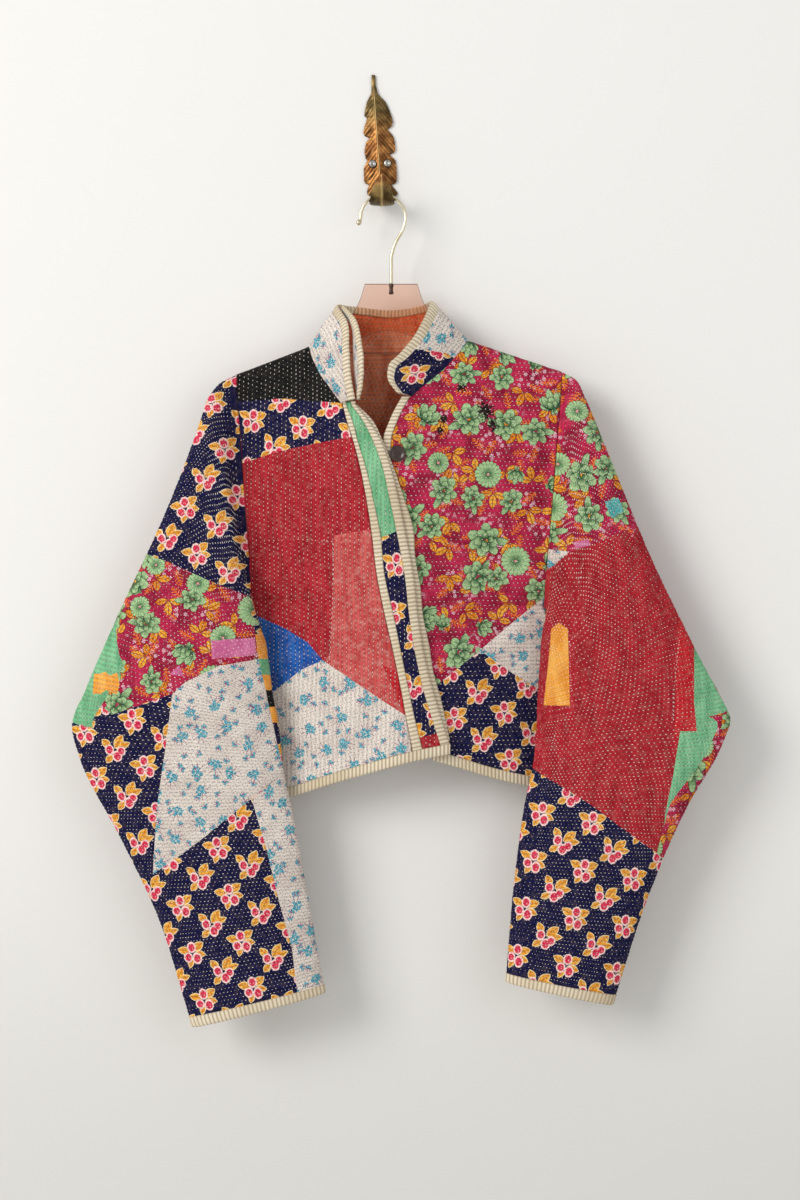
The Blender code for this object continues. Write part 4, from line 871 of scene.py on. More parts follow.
def sew(name, loop, seams, lie, off_axis, facing, gap, length=2.8):
    """Running stitches along the rows; where the cloth is squeezed and rows crowd, some are left out."""
    low, high = loop.min(axis=0), loop.max(axis=0)
    rows = np.arange(math.ceil(low[off_axis] / PITCH) + 1, math.floor(high[off_axis] / PITCH))
    places = np.arange(low[1 - off_axis], high[1 - off_axis], gap)
    row, along = np.meshgrid(rows, places, indexing="ij")
    order = np.broadcast_to(np.arange(len(places)), row.shape).ravel()
    along = along + gap * ((row * 0.618) % 1) + 0.8 * np.sin(row * 12.9 + along * 3.7)
    off = row * PITCH - sway(along, row * PITCH) + 0.25 * np.sin(row * 7.3 + along * 5.1)
    longer = length * (1 + 0.25 * np.sin(row * 3.3 + along * 8.9))
    ends = []
    for way in (-0.5, 0.5):
        pair = [off, along + way * longer] if off_axis == 0 else [along + way * longer, off]
        ends.append(np.stack(pair, axis=-1).reshape(-1, 2))
    keep = inside(ends[0], loop) & inside(ends[1], loop)
    middle, beside = (ends[0] + ends[1]) / 2, np.eye(2)[off_axis] * PITCH
    keep[keep] = nearest_seam(middle[keep], filled(np.vstack([loop, loop[:1]]), 0.8)) > 1.9
    spread = np.linalg.norm(lie(middle + beside) - lie(middle - beside), axis=-1) / (2 * PITCH)
    drawn = np.linalg.norm(lie(ends[1]) - lie(ends[0]), axis=-1) / longer.ravel()
    number = row.ravel()
    keep &= ((spread > 0.66) | (number % 2 == 0)) & ((spread > 0.38) | (number % 4 == 0))
    keep &= (drawn > 0.6) | (order % 2 == 0)
    return spindles(name + "_threads", ends[0][keep], ends[1][keep], lie, facing)


def baste(name, lines, lie, facing, gap=5.6, length=3.6):
    """Longer stitches that follow lines drawn on the flat cloth."""
    starts, ends = [], []
    for line in lines:
        line = np.array(line, float)
        run = np.r_[0, np.cumsum(np.linalg.norm(np.diff(line, axis=0), axis=1))]
        for share, store in ((0.0, starts), (length, ends)):
            at = np.arange(1.0, run[-1] - length, gap) + share
            store.append(np.stack([np.interp(at, run, line[:, i]) for i in range(2)], axis=-1))
    return spindles(name + "_basting", np.concatenate(starts), np.concatenate(ends), lie, facing)


def panel_edge(side, centre, foot, hem_table):
    """Outline of a front as (x, z): shoulder, neck, centre edge, hem, side seam."""
    z = np.linspace(NECK_FRONT[side][-1][1], foot, 60)
    down = np.stack([centre(z), z], axis=-1)
    down[0] = NECK_FRONT[side][-1]
    side_z = SIDE_HEM[side][1] + BINDING_WIDTH
    hem_x = np.linspace(down[-1, 0], side_x(side, side_z), 40)
    hem = np.stack([hem_x, by_x(hem_table, hem_x) + BINDING_WIDTH + 0.3], axis=-1)
    neck = spline(NECK_FRONT[side], np.linspace(0, 1, 24))
    return np.vstack([TIP[side], neck[:-1], down[:-1], hem, UNDERARM[side]])


# Scraps of the left front, in the order they are laid on: (cotton, outline as (x, z))
LEFT_SCRAPS = [
    ("black", [
        (-204, -201), (-23, -201), (-23, -306), (-46, -304), (-80, -301), (-112, -297), (-133, -298),
        (-161, -300), (-204, -302),
    ]),
    ("berry", [
        (-204, -302), (-161, -300), (-133, -298), (-112, -297), (-80, -301), (-46, -304), (-23, -306),
        (-23, -342), (-34, -343), (-60, -347), (-99, -354), (-129, -361), (-160, -371), (-204, -384),
    ]),
    ("faded_red", [
        (-54, -455), (-34, -452), (-9, -448), (2, -506), (14, -564), (25, -621), (34, -660), (25, -661),
        (-21, -629), (-68, -599), (-59, -592), (-56, -529),
    ]),
    ("bright_red", [(1, -603), (25, -614), (37, -669), (26, -660)]),
    ("blue", [
        (-169, -536), (-138, -550), (-108, -564), (-85, -578), (-68, -598), (-94, -610), (-117, -629),
        (-126, -635), (-169, -639),
    ]),
    ("sprig", [
        (-169, -639), (-126, -635), (-117, -629), (-94, -610), (-68, -598), (-45, -613), (-21, -629),
        (28, -661), (55, -692), (78, -736), (78, -773), (-169, -773),
    ]),
]
left_outline = panel_edge("left", lambda z: by_height(PLACKET, z)[:, 0], -702.0, HEM_FRONT["left"])
front_left, left_threads = quilt(
    "quilted_front_left", left_outline, LEFT_SCRAPS, lifted_front, "down", "red",
    turns={"berry": 8, "sprig": -20}
)
# The faded patch is caught down with longer stitches above it and along its left edge
FADED_PATCH_EDGES = [
    [(-138, -461), (-94, -459), (-55, -462)], [(-55, -463), (-56, -529), (-59, -592), (-64, -603)],
]
left_basting = baste("quilted_front_left", FADED_PATCH_EDGES, lifted_front, 1)
hung(left_outline, ["front_left"])


# Right front
# The same quilted cloth with its rows across: garden print above, a sprig wedge and berry print at the hem.
# Its centre edge is bound and lies under the placket.

RIGHT_EDGE = [
    (-301, 20), (-314, 13), (-328, 7), (-342, 2), (-356, 1), (-379, 2), (-414, 5), (-453, 7), (-501, 15),
    (-546, 21), (-590, 26), (-634, 38), (-667, 49), (-700, 55),
]
RIGHT_SCRAPS = [
    ("sprig", [
        (105, -593), (124, -577), (153, -553), (179, -532), (222, -499), (222, -658), (177, -630),
        (148, -612), (118, -591),
    ]),
    ("berry", [
        (21, -658), (44, -642), (67, -623), (107, -591), (118, -591), (148, -612), (177, -630), (222, -658),
        (222, -793), (21, -793),
    ]),
]
right_outline = panel_edge(
    "right", lambda z: by_height(RIGHT_EDGE, z)[:, 0] + BINDING_WIDTH * 0.75 + 0.9, -701.0, HEM_FRONT["right"]
)
front_right, right_threads = quilt(
    "quilted_front_right", right_outline, RIGHT_SCRAPS, body_front, "across", "garden",
    turns={"garden": 12, "berry": -6}
)
hung(right_outline, ["front_right"])


# Back
# One wide quilted panel from armhole to armhole, rows across, its rust lining seen through the neck.

NECK_BACK = [(-84, -237), (-45, -241), (9, -243), (60, -239), (99, -230)]
HEM_BACK = [(-192, -768), (-106, -751), (-14, -724), (50, -707), (124, -725), (244, -754)]
BACK_FOLDS = [
    (-138, -545, -30, -610, 20, 3.5), (176, -552, 66, -620, 20, 3.5), (-40, -330, -62, -690, 26, 2.5),
    (70, -340, 96, -680, 26, 2.5), (-120, -300, -90, -400, 14, 2.0), (150, -300, 126, -400, 14, 2.0),
    (0, -260, 10, -420, 16, -1.8), (-150, -600, -100, -700, 14, -1.8), (190, -600, 150, -700, 14, -1.8),
]
BACK_SCRAPS = [
    ("berry", [(-230, -200), (-60, -200), (-40, -330), (-95, -420), (-230, -380)]),
    ("red", [(-40, -330), (-60, -200), (70, -200), (60, -480), (-20, -500), (-95, -420)]),
    ("green", [(60, -395), (96, -392), (100, -470), (60, -480)]),
    ("sprig", [(-230, -380), (-95, -420), (-20, -500), (-50, -620), (-230, -590)]),
    ("faded_red", [(-20, -500), (60, -480), (110, -560), (70, -680), (-50, -620)]),
    ("black", [(-50, -620), (20, -653), (20, -800), (-70, -800)]),
    ("blue", [(-230, -590), (-150, -603), (-130, -690), (-230, -700)]),
    ("berry", [(20, -653), (70, -680), (110, -560), (270, -600), (270, -800), (20, -800)]),
    ("orange", [(168, -470), (192, -474), (194, -520), (166, -516)]),
]


def body_back(xz):
    """Middle of the back's wall at each (x, z)."""
    x, z = xz[..., 0], xz[..., 1]
    return np.stack([x, HANG_Y + body_depth(x, z, 14, 6) + fold_height(x, z, BACK_FOLDS), z], axis=-1)


side_z = {side: SIDE_HEM[side][1] + BINDING_WIDTH for side in TIP}
back_hem_x = np.linspace(side_x("left", side_z["left"]), side_x("right", side_z["right"]), 80)
back_outline = np.vstack([
    TIP["left"], spline(NECK_BACK, np.linspace(0, 1, 30)), TIP["right"], UNDERARM["right"],
    np.stack([back_hem_x, by_x(HEM_BACK, back_hem_x) + BINDING_WIDTH + 0.3], axis=-1)[::-1], UNDERARM["left"],
])
nape = np.array([(-74, -250), (84, -246), (96, -330), (60, -420), (-50, -420), (-90, -330)], float)
back_lining_threads = sew("quilted_back_lining", nape, [], body_back, 1, 1, 5.2)
quilted_back, back_threads = quilt(
    "quilted_back", back_outline, BACK_SCRAPS, body_back, "across", "garden", facing=-1, lining_step=4.0,
    turns={"garden": 40, "berry": 20, "sprig": 10}
)
hung(back_outline, ["back"])


# Sleeves
# Wide drop sleeves, each one quilted tube pieced from many scraps, rows round it, bound at the cuff.

SLEEVES = {
    "left": [
        (-168, -269, -151, -527, -40, 16), (-184, -278, -157, -537, -49, 18),
        (-197, -294, -148, -553, -57, 19), (-210, -331, -139, -567, -62, 19),
        (-245, -425, -131, -600, -70, 18), (-299, -543, -126, -638, -75, 17),
        (-337, -630, -120, -668, -76, 17), (-353, -672, -117, -692, -76, 16),
        (-346, -704, -115, -714, -76, 16), (-302, -793, -100, -789, -73, 16),
        (-259, -883, -86, -869, -69, 17), (-216, -1019, -66, -980, -66, 17),
    ],
    "right": [
        (208, -266, 187, -535, -40, 16), (222, -275, 195, -545, -50, 18), (234, -300, 188, -559, -57, 19),
        (254, -349, 185, -572, -62, 19), (306, -478, 182, -605, -70, 18), (363, -596, 179, -646, -75, 17),
        (388, -643, 178, -674, -76, 17), (397, -664, 177, -690, -76, 16), (389, -691, 175, -710, -76, 16),
        (348, -765, 164, -766, -74, 16), (308, -857, 153, -849, -71, 17), (263, -993, 143, -967, -68, 17),
    ],
}
SLEEVE_FOLDS = {
    "left": [
        (-126, -668, -232, -640, 15, 2.5), (-122, -700, -262, -730, 17, 3.0),
        (-186, -330, -222, -520, 16, -2.5), (-112, -740, -170, -860, 16, 2.5),
        (-140, -600, -210, -560, 11, 1.8), (-108, -780, -150, -820, 9, -1.8),
        (-230, -640, -300, -680, 14, 1.8), (-120, -880, -180, -900, 12, 1.6),
        (-160, -420, -180, -540, 10, 2.0), (-172, -290, -160, -520, 8, -3.0),
        (-200, -760, -150, -930, 13, 1.8), (-250, -500, -310, -600, 12, 1.6),
        (-180, -640, -240, -700, 10, -1.6), (-210, -820, -240, -900, 12, -1.4),
    ],
    "right": [
        (184, -668, 292, -632, 15, 2.5), (180, -704, 316, -722, 17, 3.0), (226, -330, 262, -500, 16, -2.5),
        (172, -745, 222, -860, 16, 2.5), (196, -600, 262, -560, 11, 1.8), (168, -790, 220, -830, 9, -1.8),
        (290, -640, 350, -680, 14, 1.8), (180, -880, 240, -900, 12, 1.6), (204, -420, 222, -540, 10, 2.0),
        (214, -290, 196, -520, 8, -3.0), (260, -760, 200, -930, 13, 1.8), (300, -500, 350, -600, 12, 1.6),
        (230, -640, 290, -700, 10, -1.6), (250, -820, 280, -900, 12, -1.4),
    ],
}
# Lines of longer white stitches where the right sleeve's scraps are caught down
SLEEVE_BASTING = [
    [(231, -473), (224, -518), (221, -550), (217, -575)], [(214, -575), (215, -612), (216, -647)],
    [(202, -658), (197, -684), (191, -706)], [(342, -554), (336, -592), (332, -632), (331, -669)],
]
SLEEVE_SCRAPS = {
    "left": [
        ("garden", [
            (-336, -483), (-269, -477), (-244, -485), (-217, -498), (-185, -512), (-154, -524),
            (-117, -536), (-112, -592), (-140, -596), (-185, -604), (-223, -622), (-238, -636),
            (-307, -659), (-331, -644), (-370, -644),
        ]),
        ("berry", [
            (-393, -690), (-370, -644), (-331, -641), (-307, -659), (-238, -636), (-246, -700),
            (-256, -766), (-261, -842), (-301, -816), (-370, -713),
        ]),
        ("green", [
            (-304, -550), (-310, -577), (-327, -612), (-334, -638), (-347, -669), (-393, -669),
            (-370, -575),
        ]),
        ("orange", [
            (-328, -614), (-315, -611), (-309, -615), (-301, -612), (-298, -624), (-301, -636),
            (-315, -632), (-320, -637), (-329, -636),
        ]),
        ("pink", [(-194, -575), (-145, -572), (-144, -592), (-193, -596)]),
        ("pink", [(-241, -613), (-230, -603), (-225, -616)]),
        ("sprig", [
            (-261, -842), (-256, -766), (-246, -700), (-238, -636), (-223, -622), (-185, -604),
            (-140, -596), (-94, -586), (-71, -713), (-114, -727), (-146, -753), (-207, -803),
        ]),
        ("berry", [
            (-301, -842), (-261, -842), (-207, -803), (-148, -756), (-132, -811), (-117, -874),
            (-103, -925), (-93, -1012), (-106, -1058), (-267, -1058),
        ]),
        ("sprig", [
            (-148, -756), (-114, -727), (-71, -713), (-25, -989), (-60, -1046), (-91, -1023), (-103, -925),
            (-117, -874), (-132, -811),
        ]),
        ("berry", [(-154, -504), (-138, -504), (-131, -527), (-152, -527)]),
        ("orange", [(-152, -527), (-131, -527), (-129, -543), (-150, -543)]),
        ("berry", [(-150, -543), (-129, -543), (-124, -568), (-145, -568)]),
        ("orange", [(-145, -568), (-124, -568), (-122, -596), (-141, -596)]),
        ("green", [(-141, -596), (-122, -596), (-118, -614), (-137, -614)]),
        ("orange", [(-137, -614), (-118, -614), (-115, -632), (-133, -632)]),
        ("black", [(-133, -632), (-115, -632), (-110, -651), (-129, -651)]),
        ("orange", [(-129, -651), (-110, -651), (-107, -669), (-125, -669)]),
        ("berry", [(-125, -669), (-107, -669), (-94, -715), (-115, -715)]),
    ],
    "right": [
        ("garden", [
            (136, -184), (297, -184), (320, -437), (294, -442), (261, -457), (213, -475), (170, -490),
        ]),
        ("sprig", [(190, -470), (214, -474), (192, -494)]),
        ("aqua", [(255, -417), (270, -412), (276, -428), (262, -436)]),
        ("pink", [(218, -463), (235, -460), (238, -467), (221, -470)]),
        ("orange", [(194, -562), (202, -555), (212, -562), (214, -649), (185, -649), (192, -585)]),
        ("bright_red", [
            (339, -540), (356, -583), (355, -646), (358, -678), (339, -678), (332, -690), (334, -632),
        ]),
        ("green", [
            (356, -583), (392, -651), (417, -662), (412, -713), (366, -782), (316, -823), (324, -765),
            (331, -730), (339, -678), (358, -678), (355, -646),
        ]),
        ("garden", [
            (392, -656), (435, -644), (389, -782), (329, -851), (316, -823), (327, -792), (343, -758),
            (375, -710),
        ]),
        ("berry", [
            (113, -690), (170, -720), (235, -760), (316, -820), (343, -839), (308, -1035), (101, -1035),
        ]),
    ],
}
HALF_ROUND = 80.0


def ring_share(angle):
    """1 at the outer fold, -1 at the inner one: a cosine part straightened."""
    bend = np.abs(angle)
    return 0.62 * np.cos(bend) + 0.38 * (1 - 2 * bend / math.pi)


def sleeve_lie(side):
    """Hangs a flat sleeve: x is HALF_ROUND times the angle from its outer fold; y runs to the cuff."""
    rows = np.array(SLEEVES[side], float)
    steps = np.linalg.norm(np.diff(rows[:, :4], axis=0), axis=1)
    length = sleeve_length(side)
    knots = np.r_[0.0, np.cumsum(steps)] / steps.sum()

    def lie(flat):
        angle, share = flat[..., 0] / HALF_ROUND, np.clip(-flat[..., 1] / length, 0, 1)
        shape = share.shape
        ring = hermite(knots, rows, share.ravel()).reshape(*shape, 6)
        across = ring_share(angle)
        rise = np.sqrt(np.clip(1 - across**2, 0, 1)) * np.sign(-np.sin(angle))
        x = (ring[..., 0] + ring[..., 2]) / 2 + (ring[..., 0] - ring[..., 2]) / 2 * across
        z = (ring[..., 1] + ring[..., 3]) / 2 + (ring[..., 1] - ring[..., 3]) / 2 * across
        behind = np.where(rise > 0, np.interp(share, [0, 0.12], [14 / 16, 1.0]), 1.0)
        folds = fold_height(x, z, SLEEVE_FOLDS[side]) * np.abs(rise) * np.where(rise > 0, 0.6, -1.0)
        return np.stack([x, ring[..., 4] + ring[..., 5] * rise * behind + folds, z], axis=-1)

    return lie


def sleeve_length(side):
    """Mean length of a sleeve's two folds."""
    return np.linalg.norm(np.diff(np.array(SLEEVES[side], float)[:, :2], axis=0), axis=1).sum() * 0.95


def cuff_place(side):
    """Distance down the flat sleeve at which its cuff binding starts."""
    length = sleeve_length(side)
    return length - BINDING_WIDTH * 0.95 / 0.8 * 0.95


def flat_place(side, lie, shape):
    """Finds the flat cloth's place under each (x, z) of a scrap: the nearest ring and the share across it."""
    length = sleeve_length(side)
    down = np.linspace(0, 1, 600)
    outer = lie(np.stack([np.zeros(600), -down * length], axis=-1))[:, [0, 2]]
    inner = lie(np.stack([np.full(600, math.pi * HALF_ROUND), -down * length], axis=-1))[:, [0, 2]]
    span = outer - inner
    angles = np.linspace(0, math.pi, 400)
    places = []
    for point in filled(np.array([*shape, shape[0]], float), 6.0)[:-1]:
        along = np.clip(((point - inner) * span).sum(axis=1) / (span**2).sum(axis=1), 0, 1)
        away = np.linalg.norm(inner + span * along[:, None] - point, axis=1)
        best = int(np.argmin(away))
        angle = np.interp(along[best] * 2 - 1, ring_share(angles)[::-1], angles[::-1])
        if along[best] in (0.0, 1.0):
            angle += (1 if along[best] == 0 else -1) * (away[best] + 1) / HALF_ROUND
        places.append((angle * HALF_ROUND, -down[best] * length))
    return places


def sleeve_print(side, lie):
    """Print coordinates of the flat sleeve: true lengths round each ring, laid out from its middle line."""
    length = sleeve_length(side)
    downs, angles = np.linspace(0, 1, 120), np.linspace(-math.pi, math.pi, 181)
    flat = np.stack(np.meshgrid(-downs * length, angles * HALF_ROUND, indexing="ij")[::-1], axis=-1)
    rings = lie(flat)
    arc = np.cumsum(np.linalg.norm(np.diff(rings, axis=1, prepend=rings[:, :1]), axis=-1), axis=1)
    arc -= arc[:, 90:91] + (arc[:, 135:136] - arc[:, 90:91])
    front = rings[:, 135][:, [0, 2]]
    outward = unit((rings[:, 90] - rings[:, 180])[:, [0, 2]])

    def place(points):
        row = np.clip(-points[:, 1] / length, 0, 1) * 119
        column = np.clip(points[:, 0] / HALF_ROUND / (2 * math.pi) + 0.5, 0, 1) * 180
        i, j = np.minimum(row.astype(int), 118), np.minimum(column.astype(int), 179)
        a, b = (row - i)[:, None], (column - j)[:, None]
        arcs = arc[..., None]
        above, below = ((1 - b) * arcs[k, j] + b * arcs[k, j + 1] for k in (i, i + 1))
        here = (1 - a) * above + a * below
        return (1 - a) * front[i] + a * front[i + 1] - outward[i] * here

    return place


for side in TIP:
    lie = sleeve_lie(side)
    length = sleeve_length(side)
    cuff = cuff_place(side)
    half = math.pi * HALF_ROUND
    outline = np.array([(-half, -1.0), (-half, -cuff), (half, -cuff), (half, -1.0)])
    scraps = []
    for cloth, shape in SLEEVE_SCRAPS[side]:
        front_place = flat_place(side, lie, shape)
        scraps.append((cloth, front_place))
        scraps.append((cloth, [(-x, y) for x, y in front_place]))
    panel, threads = quilt(
        f"quilted_sleeve_{side}", outline, scraps, lie, "across", "berry" if side == "left" else "red",
        print_place=sleeve_print(side, lie), closed_at=half, facing=1 if side == "left" else -1,
        turns={"berry": -14, "garden": 24, "sprig": -30} if side == "left" else {"berry": 10, "garden": -20}
    )
    ring = lie(np.stack(np.meshgrid(np.linspace(-half, half, 181), -np.linspace(0, cuff, 60)), axis=-1))
    round_it = np.linalg.norm(np.diff(ring, axis=1), axis=-1).sum(axis=1)
    cells = np.linalg.norm(np.cross(np.diff(ring, axis=1)[:-1], np.diff(ring, axis=0)[:, :-1]), axis=-1)
    cut = np.array([(0, 0), (round_it.max(), 0), (round_it.max(), cuff), (0, cuff)])
    if side == "right":
        tracks = [flat_place(side, lie, np.vstack([line, line[-2:0:-1]])) for line in SLEEVE_BASTING]
        tracks = [track[:len(track) // 2 + 1] for track in tracks]
        baste(f"quilted_sleeve_{side}", tracks, lie, -1)
    hung(cut, [f"sleeve_{side}_upper", f"sleeve_{side}_lower"],
         area=cells.sum() * 1e-6)


# Collar
# Stand collar of quilted sprig cotton with a berry-print scrap at its right front, lined in rust.
# It rises from the neck seam; its front ends stand open over the hanger.

# Top edge as (place along the seam, x, y, z): 0 to 1 is the left neck, 1 to 2 the back, 2 to 3 the right
COLLAR_TOP = np.array([
    (0.00, -31, -88, -300), (0.33, -36, -90, -272), (0.66, -38, -84, -241), (0.88, -41, -68, -208),
    (1.00, -51, -46, -190), (1.20, -38, -27, -187), (1.50, 10, -19, -191), (1.80, 47, -27, -186),
    (2.00, 57, -47, -184), (2.16, 50, -66, -203), (2.40, 37, -77, -228), (2.65, 20, -83, -249),
    (2.82, 8, -85, -263), (2.92, 8, -85, -279), (3.00, 18, -84, -293),
])
NECK_AXIS = np.array([8.0, -48.0, 0])
share = np.linspace(0, 1, 80)
neck_line = np.concatenate([
    lifted_front(spline(NECK_FRONT["left"], share)[::-1]),
    body_back(spline(NECK_BACK, share))[1:],
    body_front(spline(NECK_FRONT["right"], share))[1:],
])
neck_place = np.linspace(0, 3, len(neck_line))
neck_reach = np.r_[0, np.cumsum(np.linalg.norm(np.diff(neck_line, axis=0), axis=1))]
collar_top = hermite(COLLAR_TOP[:, 0], COLLAR_TOP[:, 1:], neck_place)
collar_rise = collar_top - neck_line
collar_height = np.linalg.norm(collar_rise, axis=1)


def along_neck(reach, values):
    """Reads values kept along the neck seam at any distance along it."""
    return np.stack([np.interp(reach, neck_reach, values[:, i]) for i in range(values.shape[1])], axis=-1)


def collar_lie(flat):
    """Stands the flat collar up: x runs along the neck seam and y up it, with a slight outward belly."""
    height = np.interp(flat[..., 0], neck_reach, collar_height)
    share = (flat[..., 1] / height)[..., None]
    base = along_neck(flat[..., 0], neck_line)
    lean = along_neck(flat[..., 0], collar_rise)
    away = base - NECK_AXIS
    away[..., 2] = 0
    belly = 1.6 * np.sin(np.pi * np.clip(share, 0, 1))
    return base + lean * share + unit(away) * belly


# Visible width of the collar's binding as a share of the flat strip's, from the left end to the right one
BOUND = {0: 0.66, 1: 0.7, 1.2: 0.75, 1.8: 0.75, 2: 0.95, 2.4: 0.85, 2.8: 0.66, 3: 0.5}
collar_bound = np.interp(neck_place, list(BOUND), list(BOUND.values())) * BINDING_WIDTH
reach = np.linspace(0, neck_reach[-1], 160)
cloth_top = np.interp(reach, neck_reach, collar_height - collar_bound) - 0.3
collar_outline = np.vstack([
    np.stack([reach, np.full(160, 0.3)], axis=-1), np.stack([reach, np.maximum(cloth_top, 3)], axis=-1)[::-1],
])
at_neck = dict(zip((2.28, 2.4, 2.62, 2.8), np.interp((2.28, 2.4, 2.62, 2.8), neck_place, neck_reach)))
collar_scraps = [
    ("berry", [(at_neck[2.28], -2), (at_neck[2.28] + 3, 12), (at_neck[2.4], 26), (at_neck[2.62], 60),
               (neck_reach[-1] + 9, 60), (neck_reach[-1] + 9, -2)]),
]
collar, collar_threads = quilt(
    "quilted_collar", collar_outline, collar_scraps, collar_lie, "across", "sprig", facing=-1,
    lining_step=3.0, turns={"berry": -40, "sprig": 15}
)
collar_lining_threads = sew("quilted_collar_lining", collar_outline, [], collar_lie, 1, 1, 5.2)
hung(collar_outline, ["collar"])


# Bindings
# Half-inch strips of cream cotton with beige cross stripes, folded over every raw edge and felled down.
# They ripple slightly at each stripe.

# Section of the folded strip: (share across from its inner edge, share of its half thickness)
BINDING_SECTION = np.array([
    (-0.07, 0.75), (-0.03, 1.12), (0.15, 1.05), (0.5, 1.1), (0.82, 0.95), (0.97, 0.5), (1.0, 0.0),
    (0.97, -0.5), (0.82, -0.95), (0.5, -1.1), (0.15, -1.05), (-0.03, -1.12), (-0.07, -0.75),
])
STRIPE = 4.6
THINNEST_STRIP = 10.2


# Cream cotton with soft beige-grey cross stripes, dingy in patches and darker along its two long edges
BINDING_CLOTH, draft = new_finish("striped_binding")
cloth = draft.map("print")
parts = draft.parts(cloth)
wave = (parts[0] * (2 * math.pi / (STRIPE * MILLIMETRE)) + (draft.noise(cloth, 90.0) * 0.9 - 0.45)).sin()
dingy = draft.step(draft.noise(cloth, 12.0, 3.0), 0.35, 0.7)
colour = draft.mix(dingy, dyed(232, 222, 200), dyed(212, 198, 170))
colour = draft.mix(draft.step(wave, 0.3, -0.7) * 0.8, colour, dyed(170, 148, 118))
# Darker along both long edges of the strip, at its fold and where it meets the cloth
across = abs(parts[1] * (1 / (BINDING_WIDTH * MILLIMETRE)) - 0.5)
colour = draft.mix(draft.step(across, 0.42, 0.56) * 0.35, colour, dyed(140, 122, 96))
draft.paint(Base_Color=colour, Roughness=0.85, Specular_IOR_Level=0.2, Sheen_Weight=0.03,
            Normal=draft.bump(wave * 0.2 + draft.noise(cloth, 900.0), 0.5))


def tube_faces(count, sides, closed=False):
    """Faces between count rings of sides points, then the two ends, unless the last ring meets the first."""
    ids = np.arange(count * sides).reshape(count, sides)
    here, following = (ids, np.roll(ids, -1, axis=0)) if closed else (ids[:-1], ids[1:])
    corners = (here, np.roll(here, -1, axis=1), np.roll(following, -1, axis=1), following)
    faces = np.stack(corners, axis=-1).reshape(-1, 4).tolist()
    return faces if closed else faces + [ids[0][::-1].tolist(), ids[-1].tolist()]


def bind(name, inner, edge, out, node, half=2.1, wrap=False):
    """A folded strip: its section is carried between the inner and edge lines, a ring each quarter stripe."""
    middle = (inner + edge) / 2
    if wrap:
        inner, edge, out, middle = (np.vstack([line, line[:1]]) for line in (inner, edge, out, middle))
    reach = np.r_[0, np.cumsum(np.linalg.norm(np.diff(middle, axis=0), axis=1))]
    at = np.linspace(0, reach[-1], round(reach[-1] / STRIPE) * 4 + 1)
    inner, edge, out = (np.stack([np.interp(at, reach, line[:, i]) for i in range(3)], -1)
                        for line in (inner, edge, out))
    ripple = 1 + 0.11 * np.sin(np.arange(len(at)) * np.pi / 2) + 0.05 * np.sin(at / 23)
    bulge = unit(out) * (half * ripple)[:, None]
    if wrap:
        inner, edge, bulge = inner[:-1], edge[:-1], bulge[:-1]
    rings = np.stack([inner + (edge - inner) * share + bulge * rise for share, rise in BINDING_SECTION], 1)
    count, sides = rings.shape[:2]
    spans = count if wrap else count - 1
    ring_of, corner = np.repeat(np.arange(spans), sides), np.tile(np.arange(sides), spans)
    across = np.append(BINDING_SECTION[:, 0], BINDING_SECTION[0, 0]) * BINDING_WIDTH
    along = at[np.stack([ring_of, ring_of, ring_of + 1, ring_of + 1], -1)]
    width = across[np.stack([corner, corner + 1, corner + 1, corner], -1)]
    uv = np.zeros((4 * spans * sides + (0 if wrap else 2 * sides), 2))
    uv[:4 * spans * sides] = np.stack([along, width], -1).reshape(-1, 2)
    strip = put_mesh(name, rings.reshape(-1, 3), tube_faces(count, sides, wrap), [BINDING_CLOTH],
                     uvs=[("print", uv * MILLIMETRE)])
    wide = max(np.linalg.norm(edge - inner, axis=1).mean() + 1, THINNEST_STRIP)
    folded = np.array([(0, 0), (wide, 0), (wide, reach[-1]), (0, reach[-1])])
    hung(folded, [node])


def viewer_side(line):
    """Direction towards the viewer, square to a line's run."""
    run = unit(np.gradient(line, axis=0))
    viewer = np.array([0, -1.0, 0])
    return unit(viewer - (run @ viewer)[:, None] * run)


def placket_line(column, z):
    """x of one placket edge, carried on in line below its table."""
    rows = np.array(PLACKET, float)
    lean = (rows[-1] - rows[-2])[column + 1] / (rows[-1] - rows[-2])[0]
    return by_height(PLACKET, z)[..., column] + lean * np.minimum(z - rows[-1, 0], 0)


PLACKET_TOP = -302.4


def placket_strip(column, shift=0.0):
    """(x, z) of a placket edge from the collar down to the hem's binding."""
    foot = -700.0
    for _ in range(3):
        x = placket_line(column, np.array([foot])) + shift
        foot = float(by_x(HEM_FRONT["left"], x)[0]) + BINDING_WIDTH + 0.9
    z = np.linspace(PLACKET_TOP, foot, 120)
    x = placket_line(column, z)
    if column in (1, 2):
        folded_edge = placket_line(3 if column == 2 else 0, z)
        x = folded_edge + (x - folded_edge) * np.interp(z, (-400, PLACKET_TOP), (0.97, 0.72))
    return np.stack([x + shift, z], axis=-1)


seam_edge = body_front(placket_strip(0, 0.3), PLACKET_LIFT)
seam_inner = body_front(placket_strip(1), PLACKET_LIFT)
bind("placket_seam_binding_cloth", seam_inner, seam_edge, viewer_side(seam_edge), "placket_seam_binding")
edge_inner = body_front(placket_strip(2, 0.3), PLACKET_LIFT)
edge_outer = body_front(placket_strip(3), PLACKET_LIFT)
bind("placket_edge_binding", edge_inner, edge_outer, viewer_side(edge_outer), "front_left_binding")

z = np.linspace(-296.5, -700, 120)
x = by_height(RIGHT_EDGE, z)[:, 0] + 0.6 * np.maximum(z + 301, 0)
right_inner = body_front(np.stack([x + BINDING_WIDTH * 0.75, z], axis=-1))
right_outer = body_front(np.stack([x, z], axis=-1))
bind("right_edge_binding", right_inner, right_outer, viewer_side(right_inner), "front_right_binding")


